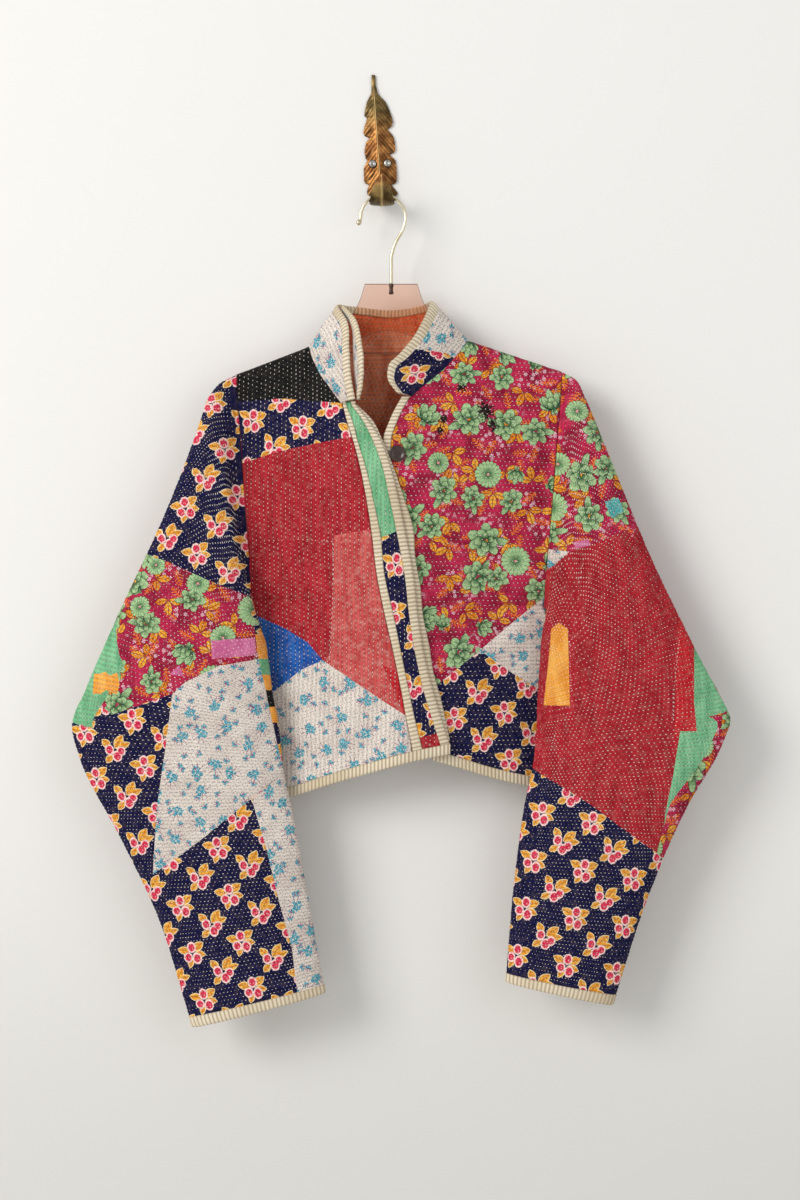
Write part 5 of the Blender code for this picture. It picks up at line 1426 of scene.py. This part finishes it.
def hem_bind(name, node, from_x, to_x, table, surface):
    """Binding under a hem from one x to another; it keeps clear of the other side's at the side seam."""
    x = np.linspace(from_x, to_x, 160)
    edge_xz = np.stack([x, by_x(table, x)], axis=-1)
    inner, edge = surface(edge_xz + np.array([0, BINDING_WIDTH])), surface(edge_xz)
    side = np.sign(inner[:, 1] - HANG_Y)
    near = np.maximum(2.25 - np.abs(inner[:, 1] - HANG_Y), 0)
    shift = np.stack([0 * x, side * near, 0 * x], axis=-1)
    out = np.broadcast_to(np.array([0, 1.0, 0]), inner.shape) * side[:, None]
    bind(name, inner + shift, edge + shift, out, node)


side_left, side_right = side_x("left", side_z["left"]), side_x("right", side_z["right"])
hem_bind("hem_left_binding_cloth", "hem_left_binding", side_left, 78, HEM_FRONT["left"], lifted_front)
hem_bind("hem_right_binding_cloth", "hem_right_binding", side_right, 57, HEM_FRONT["right"], body_front)
hem_bind("hem_back_binding_cloth", "hem_back_binding", side_left, side_right, HEM_BACK, body_back)

for side in TIP:
    lie, length = sleeve_lie(side), sleeve_length(side)
    angle = np.linspace(-math.pi, math.pi, 240, endpoint=False) * HALF_ROUND
    inner_flat = np.stack([angle, np.full(240, -cuff_place(side))], axis=-1)
    ring_inner, ring_edge = lie(inner_flat), lie(np.stack([angle, np.full(240, -length)], axis=-1))
    out = unit((ring_inner - ring_inner.mean(axis=0)) * (0.15, 1.0, 0.15))
    bind(f"cuff_{side}_binding_cloth", ring_inner, ring_edge, out, f"cuff_{side}_binding",
         wrap=True)

collar_share = 1 - collar_bound / collar_height
collar_inner = neck_line + collar_rise * collar_share[:, None]
collar_out = unit((neck_line - NECK_AXIS) * (1, 1, 0))
bind("collar_edge_binding", collar_inner, collar_top, collar_out, "collar_binding")


# Placket
# A strip of green and berry-print cotton down the left front, between its seam binding and its edge binding,
# that hides the fastening; a bound under layer shows past its edge and runs up inside the collar.

band_left, band_right = placket_strip(1, 0.3), placket_strip(2)
band_outline = np.vstack([band_left, band_right[::-1]])
BAND_SCRAPS = [
    ("berry", [(-14, -461), (-1, -458), (17, -451), (34, -446), (90, -644), (90, -713), (21, -713)]),
    ("red", [(30, -688), (67, -680), (90, -676), (90, -724), (21, -724)]),
]
placket, placket_threads = quilt(
    "placket_strip", band_outline, BAND_SCRAPS, lambda xz: body_front(xz, PLACKET_LIFT), "down", "green",
    turns={"berry": 4}, along_step=3.0
)
hung(band_outline, ["placket_band"])

FLY_LIFT = 4.9
FLY_EDGE = [
    (-306, -28), (-322, -12), (-347, 1), (-374, 12), (-415, 26), (-448, 36), (-480, 38), (-515, 44),
    (-547, 47), (-580, 54), (-612, 59), (-644, 68), (-676, 75), (-690, 78),
]
z = np.linspace(-306, -690, 120)
fly = by_height(FLY_EDGE, z)[:, 0]
fly_inner = body_front(np.stack([fly - BINDING_WIDTH, z], axis=-1), FLY_LIFT)
fly_outer = body_front(np.stack([fly, z], axis=-1), FLY_LIFT)
bind("fly_edge_binding", fly_inner, fly_outer, viewer_side(fly_outer), "fly_binding")
hidden = np.minimum(by_height(PLACKET, z)[:, 1] - 6, fly - BINDING_WIDTH - 8)
fly_outline = np.vstack([
    np.stack([hidden, z], axis=-1), np.stack([fly - BINDING_WIDTH - 0.3, z], axis=-1)[::-1],
])
under_layer, under_threads = quilt(
    "fly_layer", fly_outline, [], lambda xz: body_front(xz, FLY_LIFT), "down", "sprig", along_step=3.0
)
hung(fly_outline, ["fly_band"])

left = neck_place <= 1
shown = np.interp(neck_place[left], (0, 0.12, 0.3, 0.5, 0.7, 0.9, 1), (0.5, 8, 14, 15, 12, 5, 2))[:, None]
upward = unit(collar_rise[left])
fly_collar_edge = collar_top[left] + upward * shown - collar_out[left] * 4.8
fly_collar_inner = fly_collar_edge - upward * np.minimum(shown * 0.8 + 2, 7) - collar_out[left] * 1.5
bind("fly_collar_edge_binding", fly_collar_inner, fly_collar_edge, collar_out[left] + upward * 0.25,
     "fly_collar_binding", half=1.7)
fly_reach = neck_reach[left]


def fly_collar_lie(flat):
    """The under layer's stretch on the collar: x along the neck, y from its sewn edge up to its binding."""
    share = flat[..., 1:2] / 20
    ends = [np.stack([np.interp(flat[..., 0], fly_reach, line[:, i]) for i in range(3)], axis=-1)
            for line in (collar_top[left] - upward * 8 - collar_out[left] * 12, fly_collar_inner)]
    return ends[0] * (1 - share) + ends[1] * share


fly_cloth_outline = np.array([(1, 0.3), (1, 19.6), (fly_reach[-1] - 1, 19.6), (fly_reach[-1] - 1, 0.3)])
fly_cloth, fly_cloth_threads = quilt(
    "fly_collar_layer", fly_cloth_outline, [], fly_collar_lie, "across", "sprig", facing=-1, lining_step=3.0,
    turns={"sprig": 50}
)
hung(fly_cloth_outline, [])


# Button
# One dark horn button, turned and dished, sewn through four holes to the right front.

def turned(profile, centre, segments=48):
    """Rings of a turned piece facing the viewer: profile rows are (radius, distance towards the viewer)."""
    angles = np.linspace(0, 2 * math.pi, segments, endpoint=False)
    radius, forward = np.array(profile, float).T
    rings = np.stack([
        centre[0] + radius[:, None] * np.cos(angles), centre[1] - forward[:, None] + 0 * angles,
        centre[2] + radius[:, None] * np.sin(angles),
    ], axis=-1)
    return rings.reshape(-1, 3), tube_faces(len(profile), segments)


BUTTON_AT = (17.5, -362.0)
button_seat = float(body_front(np.array([BUTTON_AT]))[0, 1]) - 2.8
horn, draft = new_finish("dark_horn")
streak = draft.step(draft.noise(draft.vector("MULTIPLY", draft.place(), (1, 1, 5)), 220.0), 0.4, 0.7)
draft.paint(Base_Color=draft.mix(streak, dyed(34, 20, 16), dyed(70, 44, 34)), Roughness=0.28, Coat_Weight=0.3)
BUTTON_PROFILE = [
    (7.6, 0.0), (9.0, 0.5), (9.5, 1.5), (9.4, 2.5), (8.8, 3.2), (7.8, 3.3), (6.9, 2.7), (6.2, 2.2),
    (3.0, 2.0), (0.6, 2.0),
]
button = put_mesh("horn_button", *turned(BUTTON_PROFILE, (BUTTON_AT[0], button_seat, BUTTON_AT[1])), [horn])
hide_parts("button")


# Hanger
# Flat hanger sawn from clear smoky-pink acrylic sheet, its edges polished; hollow flanks, two sloping arms.
# A swivel hook of pale gold wire stands in a ferrule sunk in its neck and hangs over the wall hook.

HANGER_FLANKS = [
    [(41, -163), (47, -182), (56, -199), (69, -215), (83, -231)],
    [(-20, -163), (-26, -182), (-35, -199), (-48, -215), (-57, -237), (-70, -244)],
]
HANGER_UNDER = [
    (165, -281), (120, -268), (80, -250), (45, -228), (10.5, -217), (-25, -226), (-55, -243), (-85, -258),
    (-125, -276),
]
arms = [[(x, float(roof(np.array([x], float))[0]) - 5.5) for x in places]
        for places in ((100, 130, 165, 196), (-88, -120, -156))]
right_edge_line = [*HANGER_FLANKS[0], *arms[0], (203, -277), (200, -287)]
left_edge_line = [*HANGER_FLANKS[1], *arms[1], (-163, -280), (-160, -289)]
under_share = np.linspace(0, 1, 90)
hanger_loop = np.vstack([
    spline(right_edge_line, under_share)[:, :2],
    spline(np.array([right_edge_line[-1], *HANGER_UNDER, left_edge_line[-1]]), under_share)[1:-1],
    spline(left_edge_line, under_share)[::-1, :2],
])


def inset(loop, by):
    """A closed loop drawn inwards by a distance."""
    run = unit(np.roll(loop, -1, axis=0) - np.roll(loop, 1, axis=0))
    normal = np.stack([run[:, 1], -run[:, 0]], axis=-1)
    area = np.sum(loop[:, 0] * np.roll(loop[:, 1], -1) - np.roll(loop[:, 0], -1) * loop[:, 1])
    return loop - normal * by * np.sign(area)


layers = [(0.35, -2.0), (0.0, -1.65), (0.0, 1.65), (0.35, 2.0)]
rings = np.stack([np.insert(inset(hanger_loop, by), 1, HANG_Y + y, axis=1) for by, y in layers])
acrylic, draft = new_finish("smoky_pink_acrylic")
draft.paint(Base_Color=dyed(246, 214, 198), Transmission_Weight=1.0, Roughness=0.02, IOR=1.08)
edge_glow, draft = new_finish("polished_acrylic_edge")
draft.paint(Base_Color=dyed(132, 98, 92), Roughness=0.15, Coat_Weight=0.5)
faces = tube_faces(*rings.shape[:2])
plate = put_mesh("acrylic_hanger", rings.reshape(-1, 3), faces, [acrylic, edge_glow],
                 material_of=[1] * (len(faces) - 2) + [0, 0], smooth=False)
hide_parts("hanger_plate")
# Ferrule in the hanger's neck: (radius, z)
FERRULE = [
    (1.7, -163.3), (2.3, -163.6), (2.3, -166), (1.8, -166.4), (1.8, -171.5), (2.3, -172), (2.3, -174.6),
    (1.2, -175),
]
FERRULE_SWELL = 1.2


def bar(name, path, radius, finish, sides=16):
    """Round bar along a path in millimetres; radius is one figure or one a point."""
    path = np.asarray(path, float)
    run = unit(np.gradient(path, axis=0))
    across = unit(np.cross(run, (0, 1.0, 0)))
    away = unit(np.cross(across, run))
    angles = np.linspace(0, 2 * math.pi, sides, endpoint=False)[:, None]
    radius = np.broadcast_to(np.asarray(radius, float), len(path))[:, None, None]
    rings = path[:, None] + radius * (across[:, None] * np.cos(angles) + away[:, None] * np.sin(angles))
    return put_mesh(name, rings.reshape(-1, 3), tube_faces(len(path), sides), [finish])


def metal(name, first, second, rough, scale):
    """Metal whose colour wanders between two tones."""
    made, draft = new_finish(name)
    wander = draft.step(draft.noise(draft.place(), scale, 3.0), 0.4, 0.65)
    draft.paint(Base_Color=draft.mix(wander, dyed(*first), dyed(*second)), Metallic=1.0, Roughness=rough)
    return made


radii, heights = zip(*FERRULE)
ferrule = bar("hanger_ferrule", [(10.5, HANG_Y, z) for z in heights], FERRULE_SWELL * np.array(radii),
              metal("dark_ferrule", (84, 66, 60), (120, 100, 92), 0.35, 80))
gold_wire = metal("pale_gold_wire", (214, 202, 172), (232, 222, 198), 0.24, 60)
loop_angles = np.radians(np.arange(0, 181, 7.5))
loop_line = np.stack([1 + 26 * np.cos(loop_angles), -86 + 26 * np.sin(loop_angles)], axis=-1)
route = np.vstack([
    [(10.5, -162.6), (10.5, -145), (11, -130), (16, -114), (23, -102), (26.5, -92)], loop_line,
    [(-26.5, -91), (-29, -94)],
])
route = spline(route, np.linspace(0, 1, 180))[:, :2]
wire_radius = np.full(180, 2.0)
wire_radius[-7:] = (2.3, 2.7, 3.0, 3.1, 3.0, 2.6, 1.7)
wire = bar("hanger_hook_wire", np.insert(route, 1, HANG_Y, axis=1), wire_radius, gold_wire)
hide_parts("hanger_wire")

# Wall hook
# Cast brass leaf with a raised midrib, slanting veins and lobed edges, held by two plated screws.
# Its foot comes forward as a rounded tongue and curls up to hold the hanger.

# (z, half width to the left, to the right); the outline swells at each lobe and nicks in between
LEAF = np.array([
    (87.7, 1.5, 2.9), (75.8, 2.3, 2.7), (66.4, 3.2, 4.3), (61.7, 5.9, 7.9), (56.4, 9.2, 12.9),
    (46.7, 12.2, 16.7), (40, 13.4, 18.7), (37.1, 10.3, 19.4), (32.4, 12, 19.9), (27.1, 14.1, 17.8),
    (24.1, 14.9, 12.9), (19.4, 15.9, 16.7), (15.9, 14.1, 19.3), (13.6, 8.9, 19.9), (8.9, 13.4, 20.6),
    (-0.5, 16, 20.5), (-2.9, 16.1, 19.1), (-5.8, 15.8, 13.2), (-10.5, 15.2, 18.4), (-12.9, 13.5, 19.9),
    (-21.4, 18.2, 20.7), (-35.8, 19.1, 19.9), (-38.7, 18.4, 18.6), (-41.6, 13.3, 13.1), (-47.5, 16.1, 18),
    (-51.6, 16.6, 20.4), (-55.1, 13.1, 16.3), (-59.2, 9.8, 10.1),
])
# Heights of the nicks on the left and on the right, where one lobe slips under the next
NICKS = [(38, 14, -12, -41), (24, -6, -41)]
# The tongue's middle line from the leaf's foot: (y, z)
TONGUE = [(-3.4, -46), (-13, -60), (-25, -67.3), (-40, -68.3), (-49.5, -64), (-54.5, -54), (-54.5, -38)]


def midrib(z):
    """x of the leaf's leaning midrib at height z."""
    return -1.2 - 0.0685 * (z + 59)


def leaf_half(z, column):
    """Half width of the leaf at z, with a little raggedness between its tips and nicks."""
    width = np.interp(z, LEAF[::-1, 0], LEAF[::-1, column])
    return width + (0.25 * np.sin(z * 1.9 + column) - 0.2) * smoothstep((width - 5) / 4)


z = np.linspace(87.7, -59.2, 260)
columns = np.linspace(-1, 1, 73)
half_width = np.where(columns[None] < 0, leaf_half(z, 1)[:, None], leaf_half(z, 2)[:, None])
leaf_x = midrib(z)[:, None] + columns[None] * half_width
crown = 1.9 + 3.7 * (1 - np.abs(columns[None])) * np.minimum(half_width / 9, 1)
off = np.abs(leaf_x - midrib(z)[:, None])
# Veins run down and outwards from the midrib; each nick carries a step in and up towards it
vein_phase = (z[:, None] + off * 1.25) / 2.9
veins = 0.5 * np.abs(np.sin(vein_phase * math.pi / 2)) ** 1.6 * smoothstep((off - 1.2) / 2)
steps = np.zeros_like(off)
for side_of, heights in zip((columns[None] < 0, columns[None] >= 0), NICKS):
    for height in heights:
        past = z[:, None] - (height + (half_width - off) * 0.9)
        steps += np.where(side_of, np.exp(-np.abs(past - 1.2) / 1.5) * smoothstep((off - 3) / 7), 0) * 1.1
rib = 1.3 * np.exp(-((off / 0.7) ** 2)) * smoothstep((half_width - 2) / 2)
wavy = 0.35 * np.sin(z[:, None] / 5.3 + columns[None] * 2.0) * np.abs(columns[None])
rise = np.maximum(crown + rib - veins - steps + wavy, 0.8)
front = np.stack([leaf_x, -rise, z[:, None] + 0 * leaf_x], axis=-1)
back_side = front * (1, 0, 1)
ids = np.arange(front.shape[0] * front.shape[1]).reshape(front.shape[:2])
front_faces = np.stack([ids[:-1, :-1], ids[1:, :-1], ids[1:, 1:], ids[:-1, 1:]], axis=-1).reshape(-1, 4)
rim = np.concatenate([ids[:, 0], ids[-1, 1:], ids[-2::-1, -1], ids[0, -2:0:-1]])
rim_next = np.roll(rim, -1)
shift = ids.size
# Golden brass, olive towards the leaf's tip, with patina dark in its grooves and a painted highlight on its
# ribs, by the UV map patina_and_highlight
brass, draft = new_finish("aged_brass")
place, marks = draft.place(), draft.parts(draft.map("patina_and_highlight"))
up = draft.parts(place)[2]
worn = draft.step(draft.noise(place, 95.0, 4.0), 0.38, 0.66)
olive = draft.mix(worn, dyed(84, 68, 38), dyed(146, 122, 76))
colour = draft.mix(worn, dyed(132, 84, 44), dyed(206, 146, 84))
colour = draft.mix(draft.step(up, 0.012, 0.05), colour, olive)
colour = draft.mix(draft.step(up, -0.042, -0.056), colour, olive)
colour = draft.mix(marks[0] * 0.85, colour, dyed(48, 34, 20))
# Painted highlight along the midrib and the tongue's spine
colour = draft.mix(marks[1] * 0.8, colour, dyed(226, 196, 136))
draft.paint(Base_Color=colour, Metallic=0.9, Roughness=0.46)
rim_faces = np.stack([rim, rim + shift, rim_next + shift, rim_next], axis=-1)
leaf_faces = np.concatenate([front_faces, front_faces[:, ::-1] + shift, rim_faces])
grooves = np.clip(veins * 1.3 + steps * 0.9 - 0.1, 0, 1)
# Second mark: painted highlight along the raised midrib
rib_highlight = np.clip(rib - 0.3, 0, 1)
patina_and_highlight = np.zeros((2 * grooves.size, 2))
patina_and_highlight[:grooves.size] = np.stack([grooves.ravel(), rib_highlight.ravel()], axis=-1)
leaf = put_mesh("cast_leaf", np.concatenate([front, back_side]).reshape(-1, 3), leaf_faces, [brass],
                uvs=[("patina_and_highlight", patina_and_highlight[leaf_faces].reshape(-1, 2))])

share = np.linspace(0, 1, 90)
path = spline(TONGUE, share)
run = unit(np.gradient(path, axis=0))
across = np.stack([run[:, 1], -run[:, 0]], axis=-1)
taper = np.interp(share, (0, 0.7, 1), (1, 0.95, 0.4))
spread = np.interp(share, (0, 0.36, 0.6, 0.8, 0.92, 1), (0.8, 1, 1, 0.8, 0.5, 0.16))
ragged = 1 - 0.05 * np.abs(np.sin(share * 26)) ** 0.5
angles = np.linspace(0, 2 * math.pi, 64, endpoint=False)
side_share = np.cos(angles)[None]
flutes = side_share * 5.5 + share[:, None] * 7 * np.abs(side_share)
fluting = 1 - 0.16 * np.abs(np.sin(flutes * math.pi / 2)) ** 2
spine = 0.14 * np.exp(-((side_share / 0.09) ** 2))
thick = 2.9 * taper[:, None] * (fluting + spine) * np.sin(angles)[None]
tongue_x = -0.2 + 15.0 * (spread * ragged)[:, None] * side_share
tongue_yz = path[:, None] + across[:, None] * thick[..., None]
tongue_points = np.concatenate([tongue_x[..., None], tongue_yz], axis=-1)
ids = np.arange(90 * 64).reshape(90, 64)
following = np.roll(ids, -1, axis=1)
tongue_faces = np.stack([ids[:-1], ids[1:], following[1:], following[:-1]], axis=-1).reshape(-1, 4).tolist()
tongue_faces += [ids[0].tolist(), ids[-1][::-1].tolist()]
# Marks: patina dark in the flutes, and a painted highlight along the spine
marks = np.broadcast_arrays(np.clip((1 - fluting) * 6, 0, 1) * 0.8, np.clip(spine * 6, 0, 1))
patina_and_highlight = np.stack(marks, axis=-1)
corners = np.concatenate(tongue_faces)
tongue = put_mesh("cast_tongue", tongue_points.reshape(-1, 3), tongue_faces, [brass],
                  uvs=[("patina_and_highlight", patina_and_highlight.reshape(-1, 2)[corners])])
for piece in (leaf, tongue):
    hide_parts("leaf_hook")

# Dark flat ring under each screw head: painted shadow round the head
screw_shadow_finish = metal("painted_screw_shadow", (52, 42, 34), (84, 70, 56), 0.5, 90)
plated = metal("plated_screw", (168, 166, 160), (214, 212, 206), 0.3, 90)
SCREW_HEAD = [
    (3.3, 0.0), (4.0, 0.4), (4.1, 0.9), (3.7, 1.3), (3.4, 1.1), (3.1, 1.8), (1.7, 2.4), (1.4, 1.2),
    (0.3, 1.2),
]
SCREW_SHADOW_RING = [(4.2, 0.0), (4.7, 0.2), (4.7, 0.6), (4.2, 0.8)]
for name, (x, z) in {"screw_left": (-11.5, -17.3), "screw_right": (5.9, -16.5)}.items():
    reach = abs(x + math.copysign(3.2, midrib(z) - x) - midrib(z))
    half = float(np.interp(z, LEAF[::-1, 0], LEAF[::-1, 1 if x < midrib(z) else 2]))
    seat = -(2.2 + 4.0 * (1 - reach / half)) - 0.3
    # Each screw: a ring of painted shadow, then the plated head on it
    for part, profile, finish in (("rim", SCREW_SHADOW_RING, screw_shadow_finish), ("head", SCREW_HEAD, plated)):
        piece = put_mesh(f"{name}_{part}", *turned(profile, (x, seat, z), 28), [finish])
        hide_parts(name)


# Camera, light and backdrop
# A pale wall behind the hook, with painted shade darkening it towards its foot, a pale floor under it, and
# soft window-like light from the upper left.

stage_finish, draft = new_finish("pale_wall")
up = draft.parts(draft.place())[2]
# Painted shade: the colour darkens below -0.6 m as light falls off downwards; the floor, lower still, has the
# darker tone throughout
shade = draft.mix(draft.step(up, -0.6, -1.25), (0.86, 0.855, 0.84, 1), (0.72, 0.715, 0.695, 1))
draft.paint(Base_Color=shade, Roughness=0.9, Specular_IOR_Level=0.1)
clear = draft.add("ShaderNodeBsdfTransparent")[0]
behind = draft.add("ShaderNodeNewGeometry")["Backfacing"]
shadow = draft.add("ShaderNodeLightPath")["Is Shadow Ray"]
nodes = stage_finish.node_tree.nodes
painted = Ends(draft, nodes["Principled BSDF"].outputs)[0]
blend = draft.add("ShaderNodeMixShader", draft.most([behind, shadow]), painted, clear)[0]
draft.join(blend, nodes["Material Output"].inputs["Surface"])


def stage_sheet(name, corners, finish):
    """Flat four-cornered sheet in metres, facing by its corner order."""
    mesh = bpy.data.meshes.new(name)
    mesh.from_pydata(corners, [], [(0, 1, 2, 3)])
    mesh.materials.append(finish)
    item = bpy.data.objects.new(name, mesh)
    bpy.context.scene.collection.objects.link(item)


stage_sheet("studio_wall", [(-4, 0.001, -1.5), (4, 0.001, -1.5), (4, 0.001, 3), (-4, 0.001, 3)], stage_finish)
stage_sheet("studio_floor", [(-4, -5, -1.5), (4, -5, -1.5), (4, 4, -1.5), (-4, 4, -1.5)], stage_finish)


def soft_light(name, place, aim, size, power, colour):
    """Square area lamp at place, turned to aim."""
    lamp = bpy.data.lights.new(name, "AREA")
    lamp.size = size
    lamp.energy = power
    lamp.color = colour
    item = bpy.data.objects.new(name, lamp)
    item.location = place
    item.rotation_euler = (Vector(aim) - Vector(place)).to_track_quat("-Z", "Y").to_euler()
    bpy.context.scene.collection.objects.link(item)


soft_light("key", (-3.6, -3.8, 1.4), (0.0, 0.0, -0.55), 2.6, 172, (1.0, 0.975, 0.945))
soft_light("fill", (2.2, -3.2, 0.2), (0.0, 0.0, -0.6), 2.4, 15, (0.96, 0.98, 1.0))
world = bpy.data.worlds.new("studio")
world.use_nodes = True
world.node_tree.nodes["Background"].inputs["Color"].default_value = (0.98, 0.975, 0.965, 1)
world.node_tree.nodes["Background"].inputs["Strength"].default_value = 0.56
bpy.context.scene.world = world

camera = bpy.data.objects.new("camera", bpy.data.cameras.new("camera"))
camera.data.lens = 70
camera.data.sensor_width = 36
camera.location = (0.0207, -2.743, -0.529)
camera.rotation_euler = (math.pi / 2, 0, 0)
bpy.context.scene.collection.objects.link(camera)
bpy.context.scene.camera = camera
bpy.context.scene.view_settings.view_transform = "Standard"
